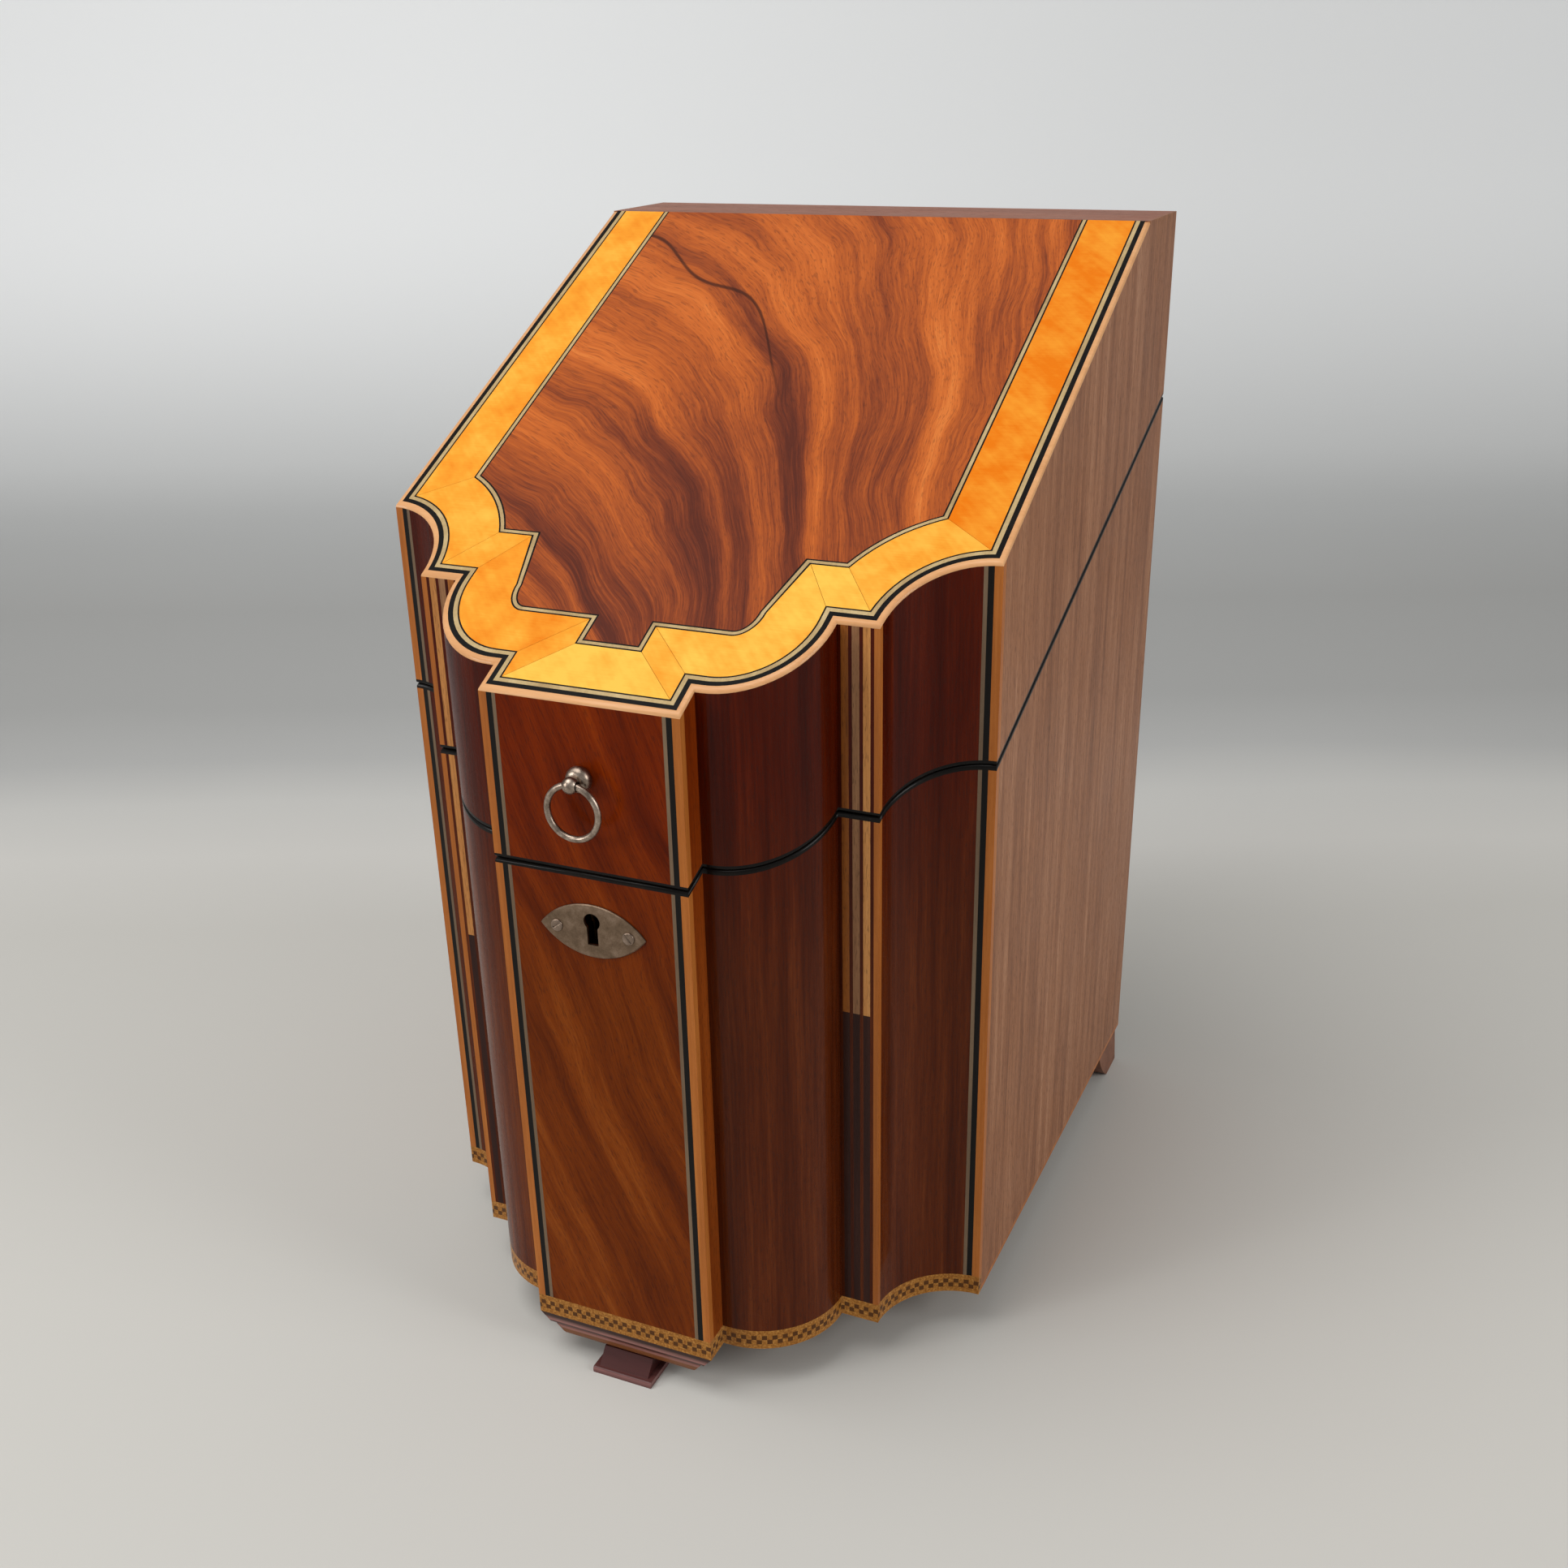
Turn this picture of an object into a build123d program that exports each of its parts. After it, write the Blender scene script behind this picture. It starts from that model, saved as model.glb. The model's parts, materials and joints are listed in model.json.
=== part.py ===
from build123d import *
import os
from math import asin, atan2, cos, degrees, hypot, radians, sin, sqrt, tan

# A serpentine-fronted knife box: a case on three feet, a sloping lid on two butt hinges,
# a ring pull, a box lock and a slotted cutlery board.
# Millimetres, +Z up, front towards -Y, standing on Z = 0 with the box's middle over the origin.

# ---------------------------------------------------------------- driving dimensions
# plan of the front, from the middle outwards
block_width = 71.0
return_depth = 10.2
shoulder = 2.0
ovolo_radius = 31.5
pilaster_width = 14.3
cavetto_radius = 29.2
side_length = 213.1
# heights and slopes
foot_height = 18.0
rim_rise = 187.0  # case rim above the base, at the block's face
joint_slope = 20.9
lid_rise = 59.0  # lid above the rim, at the block's face
lid_slope = 26.57
land_depth = 44.0
lid_gap = 0.3  # between the closed lid and the case
# boards
wall = 10.0
back_board = 9.0
bottom_board = 9.0
top_board = 9.0
land_rail = 10.0
veneer = 0.9
# stringing
corner_string = 2.8
black_string = 2.0
light_string = 1.3
inlay = 1.2  # depth of the strings let into the front
rim_string = 1.4
rim_inlay = 1.5
base_band = 8.0
band_inlay = 1.6
base_string = 1.8
# fluted pilasters
pilaster_string = 2.0
flute_width = 2.5
flute_count = 3
stop_height = 129.5  # top of the dark stop flutes above the base
# lid top
top_veneer = 1.0
edge_string = 1.9
border_black = 1.8
border_light = 1.5
border_line = 0.6
crossband = 17.7
field_line = 0.6
field_string = 1.2
band_lean = 6.0  # of the crossbanding's inner corner behind each ovolo
mitre_gap = 0.15
# front foot
apron_height = 10.0
apron_depth = 17.0
apron_draw = 9.0  # how far the apron draws in on each side
apron_back = 2.4  # how far its front draws back
apron_step = 0.8
front_foot_width = 20.0
front_foot_depth = 15.0
toe_height = 2.4
toe_spread = 2.0
toe_reach = 4.0  # of the toe in front of the block
toe_step = 1.6  # from the foot's front face to the toe's
# rear feet
rear_foot_length = 30.0
rear_foot_base = 16.0
rear_foot_width = 20.0
rear_foot_inset = 1.2
rear_foot_flare = 1.0
rear_foot_sag = 2.0  # hollow of the bracket's front edge
# cutlery board
board_drop = 14.0  # below the rim
board_thickness = 8.0
board_clearance = 0.3
ledge_width = 8.0
ledge_thickness = 6.0
slot_columns = 4
slot_rows = 3
slot_length = 26.0
slot_width = 11.0
slot_pitch_x = 46.0
slot_pitch_y = 40.0
slot_first_row = 96.0
spoon_slots = 3
spoon_length = 46.0
spoon_width = 20.0
spoon_pitch = 62.0
spoon_gap = 50.0  # from the last row of slots to the spoon slots
# hinges
hinge_spread = 62.0
hinge_length = 40.0
leaf_depth = 8.0
leaf_thickness = 1.3
knuckle_radius = 2.4
knuckle_count = 5
knuckle_gap = 0.2
knuckle_stand_off = 0.2
pin_radius = 1.1
pin_clearance = 0.05
hinge_screws = 3
hinge_screw_pitch = 13.0
screw_head_radius = 1.8
screw_head_height = 1.0
screw_radius = 0.9
screw_length = 8.0
# lock
lock_length = 40.0
lock_thickness = 12.6
lock_front = 3.6  # wood left in front of the lock
lock_height = 30.0
lock_plate = 1.2
selvedge_length = 52.0
selvedge_thickness = 2.0
selvedge_margin = 0.5
selvedge_screw_pitch = 46.0
staple_seat = 8.0  # staple's middle behind the block's face, along Y
staple_x = 4.0
staple_thickness = 2.0
staple_wall = 1.1
eye_drop = 5.5
eye_width = 4.0
eye_height = 5.4
staple_clearance = 0.5
link_plate_length = 44.0
link_plate_width = 11.0
link_plate_thickness = 1.6
link_screw_pitch = 36.0
bolt_length = 18.0
bolt_depth = 2.0
bolt_height = 4.0
bolt_tail = 9.0
bolt_tail_drop = 7.0
bolt_rest_gap = 1.0  # between the withdrawn bolt and the staple
bolt_clearance = 0.15
guide_thickness = 1.6
guide_gap = 0.8  # from each guide to the staple
guide_margin = 0.8  # metal round the bolt's hole
guide_drop = 5.0
key_pin_radius = 1.1
key_pin_reach = 9.0
# keyhole and escutcheon
keyhole_drop = 16.6
keyhole_radius = 3.0
keyhole_slot = 4.0
keyhole_length = 8.5
escutcheon_length = 39.0
escutcheon_height = 19.2
escutcheon_thickness = 0.8
escutcheon_drop = 20.1
escutcheon_bevel = 0.3
escutcheon_pin_pitch = 26.6
escutcheon_pin_head = 2.2
escutcheon_head_height = 0.5
escutcheon_pin_radius = 0.6
escutcheon_pin_length = 4.2
# ring pull
ring_rise = 33.8
ring_radius = 9.1
ring_wire = 1.1
eye_out = 7.0
boss_foot_radius = 3.5
boss_radius = 4.4
boss_depth = 4.6
boss_neck = 1.9
boss_ball = 2.8
boss_eye = 1.6
boss_shank = 1.8
boss_shank_length = 14.0

# ---------------------------------------------------------------- worked out
block_half = block_width / 2
ovolo_x = block_half + shoulder
ovolo_y = return_depth + ovolo_radius
pilaster_x = ovolo_x + ovolo_radius
cavetto_x = pilaster_x + pilaster_width
half_width = cavetto_x + cavetto_radius
corner_y = ovolo_y + cavetto_radius
depth = corner_y + side_length
slope_end = depth - land_depth
back_y = depth - back_board
veneer_x = half_width - veneer
inner_x = half_width - wall
inner_front = return_depth + wall
side_start = ovolo_y + sqrt((cavetto_radius + wall) ** 2 - wall**2)
joint_tan, joint_cos, joint_sin = (f(radians(joint_slope)) for f in (tan, cos, sin))
lid_tan, lid_cos, lid_sin = (f(radians(lid_slope)) for f in (tan, cos, sin))
rim_z = foot_height + rim_rise
top_z = rim_z + lid_rise
land_z = top_z + slope_end * lid_tan
# the ring pull stands in front of the block and the knuckles behind the back
hinge_y = depth + knuckle_stand_off + knuckle_radius
front = (eye_out + boss_ball - hinge_y - knuckle_radius) / 2
hinge_z = rim_z + hinge_y * joint_tan + lid_gap / 2 / joint_cos
knuckle_length = (hinge_length - (knuckle_count - 1) * knuckle_gap) / knuckle_count
black_x = block_half - corner_string - black_string
light_x = black_x - light_string
cavetto_string_x = half_width - corner_string
black_inset = edge_string + border_black
light_inset = black_inset + border_light
border = light_inset + border_line
crossband_end = border + crossband
field_string_inset = crossband_end + field_line
field_line_inset = field_string_inset + field_string
field_inset = field_line_inset + field_line
eye_z = rim_z + ring_rise
keyhole_z = rim_z - keyhole_drop
escutcheon_z = rim_z - escutcheon_drop
lock_back = lock_front + lock_thickness
lock_z = rim_z - lock_height
# middle of the staple's eye, where the bolt slides
bolt_y = staple_seat + eye_drop * joint_sin
bolt_z = rim_z + staple_seat * joint_tan - eye_drop * joint_cos
bolt_x = staple_x - staple_thickness / 2 - bolt_rest_gap - bolt_length


# ---------------------------------------------------------------- planes
def rim_height(y):
    return rim_z + y * joint_tan


def plan(height):
    return Plane(origin=(0, front, height))


def profile():
    return Plane(origin=(0, front, 0), x_dir=(0, 1, 0), z_dir=(1, 0, 0))


def facing(y, x=0.0, z=0.0):
    # an upright plane that looks forward; its own X runs with +X and its Y with +Z
    return Plane(origin=(x, front + y, z), x_dir=(1, 0, 0), z_dir=(0, -1, 0))


def rim_plane(rise=0.0, x=0.0, y=0.0, up=1):
    # the plane of the joint between case and lid, seen from above, or from below with up = -1
    normal = Vector(0, -joint_sin, joint_cos)
    origin = Vector(x, front + y, rim_height(y)) + normal * rise
    return Plane(origin=origin, x_dir=(1, 0, 0), z_dir=normal * up)


def rim_section(x, y):
    # a section across the joint: its own X runs back along the joint, its Y out of the case
    return Plane(origin=(x, front + y, rim_height(y)), x_dir=(0, joint_cos, joint_sin), z_dir=(1, 0, 0))


def slope_plane(drop):
    return Plane(origin=(0, front, top_z), x_dir=(1, 0, 0), z_dir=(0, -lid_sin, lid_cos)).offset(-drop)


# ---------------------------------------------------------------- plan shapes
def arc(centre, x_radius, y_radius, start, end):
    if x_radius == y_radius:
        CenterArc(centre, x_radius, start, end - start)
    else:
        EllipticalCenterArc(centre, x_radius, y_radius, start, arc_size=end - start)


def run(*points):
    # straight lines through the points, leaving out any that have no length
    for (x0, y0), (x1, y1) in zip(points, points[1:]):
        if hypot(x1 - x0, y1 - y0) > 1e-4:
            Line((x0, y0), (x1, y1))


def turns(inset, squash=1.0, lean=0.0):
    # the corners on the right of the outline, from the block back to the side
    a, b = inset, inset * squash
    pilaster_turn = asin(b / (cavetto_radius + b))
    side_turn = asin(a / (cavetto_radius + a))
    return (
        (block_half - a, b),
        (block_half - a, return_depth + b),
        (pilaster_x - a + lean, ovolo_y + b),
        (half_width - (cavetto_radius + a) * cos(pilaster_turn), ovolo_y + b),
        (half_width - a, ovolo_y + (cavetto_radius + b) * cos(side_turn)),
    )


def outline(inset, squash=1.0, lean=0.0, block=True):
    # the box seen from above with the block's face on the sketch's X axis, every edge moved in by
    # the inset, which shrinks by squash along Y; lean moves the corner behind the ovolo outwards
    a, b = inset, inset * squash
    block_corner, return_corner, ovolo_corner, pilaster_corner, side_corner = turns(inset, squash, lean)
    shoulder_point = (ovolo_x, return_depth + b)
    hollow_start = 90 + degrees(asin(a / (cavetto_radius + a)))
    hollow_end = 180 - degrees(asin(b / (cavetto_radius + b)))
    with BuildSketch(mode=Mode.PRIVATE) as shape:
        with BuildLine():
            if block:
                run((0, b), block_corner, return_corner, shoulder_point)
            else:
                run((0, return_depth + b), shoulder_point)
            arc((ovolo_x, ovolo_y), ovolo_radius - a, ovolo_radius - b, -90, 0)
            run((pilaster_x - a, ovolo_y), ovolo_corner, pilaster_corner)
            arc((half_width, ovolo_y), cavetto_radius + a, cavetto_radius + b, hollow_start, hollow_end)
            run(side_corner, (half_width - a, depth), (0, depth))
            mirror(about=Plane.YZ)
        make_face()
    return shape.sketch


def less(shape, cut):
    with BuildSketch(mode=Mode.PRIVATE) as result:
        add(shape)
        add(cut, mode=Mode.SUBTRACT)
    return result.sketch


def band(outer, inner, squash=1.0, lean=0.0):
    # the strip between two insets
    return less(outline(outer, squash, lean), outline(inner, squash, lean))


def oblongs(*zones, signs=(1, -1)):
    # rectangles (x0, x1, y0, y1) on the right, on the left, or on both sides
    with BuildSketch(mode=Mode.PRIVATE) as shape:
        for sign in signs:
            for x0, x1, y0, y1 in zones:
                with Locations((sign * (x0 + x1) / 2, (y0 + y1) / 2)):
                    Rectangle(x1 - x0, y1 - y0)
    return shape.sketch


def kept(shape, *zones, signs=(1, -1)):
    # the part of a plan shape inside such rectangles
    with BuildSketch(mode=Mode.PRIVATE) as result:
        add(shape)
        add(oblongs(*zones, signs=signs), mode=Mode.INTERSECT)
    return result.sketch


inside = outline(wall, block=False)
walls = less(outline(0), inside)
front_band = band(0, inlay)
block_zone = (0, block_half, 0, inner_front)
ovolo_zone = (block_half, pilaster_x, return_depth, ovolo_y)
pilaster_zone = (pilaster_x - wall, half_width, ovolo_y, ovolo_y + wall)
cavetto_zone = (pilaster_x - wall, half_width, ovolo_y + wall, side_start)
side_zone = (inner_x, veneer_x, side_start, back_y)
side_veneer_zone = (veneer_x, half_width, corner_y + corner_string, depth)
back_zone = (0, veneer_x, back_y, depth)
slope_zone = (0, half_width, 0, slope_end)


# ---------------------------------------------------------------- solids from plan shapes
def between(shape, lower, upper):
    # a plan shape raised between two planes
    with BuildPart(mode=Mode.PRIVATE) as solid:
        with BuildSketch(plan(0)):
            add(shape)
        extrude(amount=land_z + wall)
        split(bisect_by=upper, keep=Keep.BOTTOM)
        split(bisect_by=lower, keep=Keep.TOP)
    return solid.part


def in_case(shape, low=foot_height, drop=0.0):
    # up to a plane that lies the drop below the case's rim
    return between(shape, plan(low), rim_plane(-drop))


def on_slope(shape, upper=0.0, lower=top_veneer):
    # a layer of the sloping top between two depths square to it
    return between(kept(shape, slope_zone), slope_plane(lower), slope_plane(upper))


def in_lid(shape, rise=lid_gap, drop=0.0, land_drop=0.0):
    # from above the joint up to a depth below the lid's slope, and another below its flat land
    low, high = rise / joint_cos, drop / lid_cos
    with BuildPart(mode=Mode.PRIVATE) as solid:
        with BuildSketch(plan(0)):
            add(shape)
        extrude(amount=land_z + wall)
        with BuildSketch(profile()):
            with BuildLine():
                run(
                    (0, rim_height(0) + low),
                    (depth, rim_height(depth) + low),
                    (depth, land_z - land_drop),
                    (slope_end, land_z - land_drop),
                    (slope_end, land_z - high),
                    (0, top_z - high),
                    (0, rim_height(0) + low),
                )
            make_face()
        extrude(amount=half_width, both=True, mode=Mode.INTERSECT)
    return solid.part


def cut(*pieces):
    for piece in pieces:
        add(piece.part, mode=Mode.SUBTRACT)


def screws(places):
    # countersunk screws whose heads lie flush with each place's plane
    for place in places:
        with Locations(place):
            Cylinder(screw_radius, screw_length, align=(Align.CENTER, Align.CENTER, Align.MAX))
            Cone(
                screw_radius,
                screw_head_radius,
                screw_head_height,
                align=(Align.CENTER, Align.CENTER, Align.MAX),
            )


def save(piece, name):
    piece.part.label = name
    export_step(piece.part, f"parts/{name}.step")


os.makedirs("parts", exist_ok=True)
sides = (("right", 1), ("left", -1))

# ---------------------------------------------------------------- stringing and inlay of the front
corner_strings = (
    (block_half - corner_string, block_half, 0, corner_string),
    (cavetto_string_x, half_width, corner_y - corner_string, corner_y + corner_string),
    (cavetto_x - pilaster_string, cavetto_x + pilaster_string, ovolo_y, ovolo_y + pilaster_string),
)
cavetto_face = (corner_y - 2 * corner_string, corner_y + corner_string)
thin_strings = (
    (light_x, black_x, 0, inlay),
    (cavetto_string_x - black_string - light_string, cavetto_string_x - black_string, *cavetto_face),
)
thick_strings = (
    (black_x, block_half - corner_string, 0, inlay),
    (cavetto_string_x - black_string, cavetto_string_x, *cavetto_face),
)
light_shape = kept(walls, *corner_strings)
thin_shape = kept(front_band, *thin_strings)
black_shape = kept(front_band, *thick_strings)
flute_gap = (pilaster_width - pilaster_string - flute_count * flute_width) / (flute_count + 1)
flute_starts = [pilaster_x + flute_gap + i * (flute_width + flute_gap) for i in range(flute_count)]
flute_shape = oblongs(*[(x, x + flute_width, ovolo_y, ovolo_y + inlay) for x in flute_starts])
block_veneer_shape = oblongs((0, light_x, 0, veneer))
side_veneer_shape = oblongs(side_veneer_zone)
rim_shape = kept(band(0, rim_inlay), (0, half_width, 0, depth))
band_shape = kept(band(0, band_inlay), (0, half_width, 0, corner_y + corner_string))
base_top = foot_height + base_band

with BuildPart() as case_rim_string:
    add(between(rim_shape, rim_plane(-rim_string), rim_plane()))

with BuildPart() as base_banding:
    add(between(band_shape, plan(foot_height), plan(base_top)))

with BuildPart() as case_light_strings:
    add(in_case(light_shape, base_top, rim_string))
    add(in_case(thin_shape, base_top, rim_string))
    add(between(side_veneer_shape, plan(foot_height), plan(foot_height + base_string)))

with BuildPart() as case_black_strings:
    add(in_case(black_shape, base_top, rim_string))

with BuildPart() as case_flutes:
    add(in_case(flute_shape, foot_height + stop_height, rim_string))

with BuildPart() as stop_flutes:
    add(between(flute_shape, plan(base_top), plan(foot_height + stop_height)))

case_strings = (case_rim_string, case_light_strings, case_black_strings)
case_inlay = (*case_strings, base_banding, case_flutes, stop_flutes)

with BuildPart() as lid_rim_string:
    add(between(rim_shape, rim_plane(lid_gap), rim_plane(lid_gap + rim_string)))

with BuildPart() as edge_stringing:
    add(on_slope(band(0, edge_string, lid_cos)))

with BuildPart() as lid_light_strings:
    add(in_lid(kept(light_shape, slope_zone), lid_gap + rim_string, top_veneer))
    add(in_lid(thin_shape, lid_gap + rim_string, top_veneer))
    add(on_slope(band(black_inset, light_inset, lid_cos)))
    add(on_slope(band(field_string_inset, field_line_inset, lid_cos, band_lean)))

with BuildPart() as lid_black_strings:
    add(in_lid(black_shape, lid_gap + rim_string, top_veneer))
    add(on_slope(band(edge_string, black_inset, lid_cos)))
    add(on_slope(band(light_inset, border, lid_cos)))
    add(on_slope(band(crossband_end, field_string_inset, lid_cos, band_lean)))
    add(on_slope(band(field_line_inset, field_inset, lid_cos, band_lean)))

with BuildPart() as lid_flutes:
    add(in_lid(flute_shape, lid_gap + rim_string, top_veneer))

lid_inlay = (lid_rim_string, edge_stringing, lid_light_strings, lid_black_strings, lid_flutes)

with BuildPart() as case_block_veneer:
    add(in_case(block_veneer_shape, base_top, rim_string))

with BuildPart() as lid_block_veneer:
    add(in_lid(block_veneer_shape, lid_gap + rim_string, top_veneer))

# ---------------------------------------------------------------- ring pull
with BuildPart() as ring_boss:
    with BuildSketch(Plane(origin=(0, front, eye_z), x_dir=(0, -1, 0), z_dir=(1, 0, 0))):
        with BuildLine():
            start = (-boss_shank_length, 0)
            foot = (0, boss_foot_radius)
            dome_end = (boss_depth, boss_neck)
            Polyline(start, (-boss_shank_length, boss_shank), (0, boss_shank), foot)
            ThreePointArc(foot, (boss_depth / 2, boss_radius), dome_end)
            Polyline(dome_end, (eye_out, boss_neck), (eye_out, 0), start)
        make_face()
    revolve(axis=Axis((0, front, eye_z), (0, 1, 0)))
    with Locations(facing(-eye_out, z=eye_z)):
        Sphere(boss_ball)
    with Locations(Location((0, front - eye_out, eye_z), (0, 90, 0))):
        Cylinder(boss_eye, 3 * boss_ball, mode=Mode.SUBTRACT)
save(ring_boss, "ring_boss")

with BuildPart() as ring_handle:
    with Locations(facing(-eye_out, z=eye_z - ring_radius)):
        Torus(ring_radius, ring_wire)
save(ring_handle, "ring_handle")

# ---------------------------------------------------------------- escutcheon
with BuildPart() as keyhole:
    with BuildSketch(facing(-2 * escutcheon_thickness, z=keyhole_z)):
        Circle(keyhole_radius)
        with Locations((0, -keyhole_length / 2)):
            Rectangle(keyhole_slot, keyhole_length)
    extrude(amount=-2 * escutcheon_thickness - lock_front - lock_plate)

with BuildPart() as escutcheon_pins:
    for sign in (1, -1):
        with Locations(facing(-escutcheon_thickness, sign * escutcheon_pin_pitch / 2, escutcheon_z)):
            Cylinder(
                escutcheon_pin_head,
                escutcheon_head_height,
                align=(Align.CENTER, Align.CENTER, Align.MIN),
            )
            Cylinder(
                escutcheon_pin_radius,
                escutcheon_pin_length,
                align=(Align.CENTER, Align.CENTER, Align.MAX),
            )
save(escutcheon_pins, "escutcheon_pins")

with BuildPart() as escutcheon:
    with BuildSketch(facing(0, z=escutcheon_z)):
        with BuildLine():
            tip = (escutcheon_length / 2, 0)
            far_tip = (-escutcheon_length / 2, 0)
            ThreePointArc(far_tip, (0, escutcheon_height / 2), tip)
            ThreePointArc(tip, (0, -escutcheon_height / 2), far_tip)
        make_face()
    extrude(amount=escutcheon_thickness)
    chamfer(edges().group_by(Axis.Y)[0], escutcheon_bevel)
    cut(keyhole, escutcheon_pins)
save(escutcheon, "escutcheon")

# ---------------------------------------------------------------- lock
with BuildPart() as case_screws:
    leaf_screw_y = depth - leaf_depth / 2 * joint_cos
    hinge_offsets = [(i - (hinge_screws - 1) / 2) * hinge_screw_pitch for i in range(hinge_screws)]
    hinge_screw_xs = [sign * hinge_spread + offset for sign in (1, -1) for offset in hinge_offsets]
    lock_middle = (lock_front + lock_back) / 2
    screws([rim_plane(0, x, leaf_screw_y) for x in hinge_screw_xs])
    screws([rim_plane(0, sign * selvedge_screw_pitch / 2, lock_middle) for sign in (1, -1)])
save(case_screws, "case_screws")

with BuildPart() as lid_screws:
    screws([rim_plane(lid_gap, x, leaf_screw_y, up=-1) for x in hinge_screw_xs])
    screws([rim_plane(lid_gap, sign * link_screw_pitch / 2, staple_seat, up=-1) for sign in (1, -1)])
save(lid_screws, "lid_screws")

selvedge_edges = (lock_front - selvedge_margin, lock_back + selvedge_margin)
selvedge_shape = oblongs((0, selvedge_length / 2, *selvedge_edges))
lock_shape = oblongs((0, lock_length / 2, lock_front, lock_back))

with BuildPart() as lock_space:
    add(between(lock_shape, plan(lock_z), rim_plane()))
    add(between(selvedge_shape, rim_plane(-selvedge_thickness), rim_plane()))

with BuildPart() as lock_case:
    add(lock_space.part)
    cavity = oblongs((0, lock_length / 2 - lock_plate, lock_front + lock_plate, lock_back - lock_plate))
    add(between(cavity, plan(lock_z + lock_plate), rim_plane(-selvedge_thickness)), mode=Mode.SUBTRACT)
    # two guides stand on the back plate, one each side of the staple, and the bolt slides through them
    guide_top = bolt_z + bolt_height / 2 + bolt_clearance + guide_margin
    guide_low = bolt_z - bolt_height / 2 - bolt_clearance - guide_drop
    guide_front = bolt_y - bolt_depth / 2 - bolt_clearance - guide_margin
    guide_back = lock_back - lock_plate
    guide_offset = (staple_thickness + guide_thickness) / 2 + guide_gap
    for guide_x in (staple_x - guide_offset, staple_x + guide_offset):
        with Locations((guide_x, front + (guide_front + guide_back) / 2, (guide_top + guide_low) / 2)):
            Box(guide_thickness, guide_back - guide_front, guide_top - guide_low)
        with Locations((guide_x, front + bolt_y, bolt_z)):
            Box(
                guide_thickness,
                bolt_depth + 2 * bolt_clearance,
                bolt_height + 2 * bolt_clearance,
                mode=Mode.SUBTRACT,
            )
    with BuildSketch(facing(guide_back, z=keyhole_z)):
        Circle(key_pin_radius)
    extrude(amount=key_pin_reach)
    with BuildSketch(rim_plane(0, staple_x, staple_seat)):
        staple_width = eye_width + 2 * staple_wall
        Rectangle(staple_thickness + 2 * staple_clearance, staple_width + 2 * staple_clearance)
    extrude(amount=-selvedge_thickness, mode=Mode.SUBTRACT)
    cut(keyhole, case_screws)
save(lock_case, "lock_case")

with BuildPart() as lock_bolt:
    with Locations((bolt_x, front + bolt_y, bolt_z + bolt_height / 2)):
        Box(bolt_length, bolt_depth, bolt_height, align=(Align.MIN, Align.CENTER, Align.MAX))
        Box(bolt_tail, bolt_depth, bolt_height + bolt_tail_drop, align=(Align.MIN, Align.CENTER, Align.MAX))
save(lock_bolt, "lock_bolt")

with BuildPart() as link_plate_blank:
    with BuildSketch(rim_plane(lid_gap, 0, staple_seat)):
        Rectangle(link_plate_length, link_plate_width)
    extrude(amount=link_plate_thickness)

with BuildPart() as link_plate:
    add(link_plate_blank.part)
    with BuildSketch(rim_section(staple_x, staple_seat)):
        staple_low = -eye_drop - eye_height / 2 - staple_wall
        with Locations((0, (staple_low + lid_gap) / 2)):
            Rectangle(staple_width, lid_gap - staple_low)
        with Locations((0, -eye_drop)):
            Rectangle(eye_width, eye_height, mode=Mode.SUBTRACT)
    extrude(amount=staple_thickness / 2, both=True)
    cut(lid_screws)
save(link_plate, "link_plate")


# ---------------------------------------------------------------- hinges
def leaves(low, stretch=0.0):
    # both hinges' leaves, from a height above the case's rim
    with BuildPart(mode=Mode.PRIVATE) as solid:
        for sign in (1, -1):
            with BuildSketch(rim_section(sign * hinge_spread, depth)):
                with Locations((-leaf_depth, low)):
                    Rectangle(leaf_depth + stretch, leaf_thickness, align=(Align.MIN, Align.MIN))
            extrude(amount=hinge_length / 2, both=True)
    return solid.part


def knuckles(low, indexes):
    # barrels round the pin, each with the tongue of leaf that rolls into it
    reach = (hinge_y - depth) / joint_cos + lid_gap / 2 * joint_tan
    with BuildPart(mode=Mode.PRIVATE) as solid:
        for sign in (1, -1):
            for index in indexes:
                start = sign * hinge_spread - hinge_length / 2 + index * (knuckle_length + knuckle_gap)
                with BuildSketch(rim_section(start, depth)):
                    with Locations((reach, lid_gap / 2)):
                        Circle(knuckle_radius)
                    with Locations((-leaf_thickness, low)):
                        Rectangle(reach + leaf_thickness, leaf_thickness, align=(Align.MIN, Align.MIN))
                extrude(amount=knuckle_length)
        with Locations(Location((0, front + hinge_y, hinge_z), (0, 90, 0))):
            Cylinder(pin_radius + pin_clearance, 2 * half_width, mode=Mode.SUBTRACT)
    return solid.part


with BuildPart() as case_hinge_leaves:
    add(leaves(-leaf_thickness))
    add(knuckles(-leaf_thickness, range(0, knuckle_count, 2)))
    cut(case_screws)
save(case_hinge_leaves, "case_hinge_leaves")

with BuildPart() as lid_hinge_leaves:
    add(leaves(lid_gap))
    add(knuckles(lid_gap, range(1, knuckle_count, 2)))
    cut(lid_screws)
save(lid_hinge_leaves, "lid_hinge_leaves")

with BuildPart() as hinge_pins:
    for sign in (1, -1):
        with Locations(Location((sign * hinge_spread, front + hinge_y, hinge_z), (0, 90, 0))):
            Cylinder(pin_radius, hinge_length)
save(hinge_pins, "hinge_pins")

with BuildPart() as case_leaf_space:
    add(leaves(-leaf_thickness, stretch=knuckle_radius))

with BuildPart() as lid_leaf_space:
    add(leaves(lid_gap, stretch=knuckle_radius))

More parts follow.
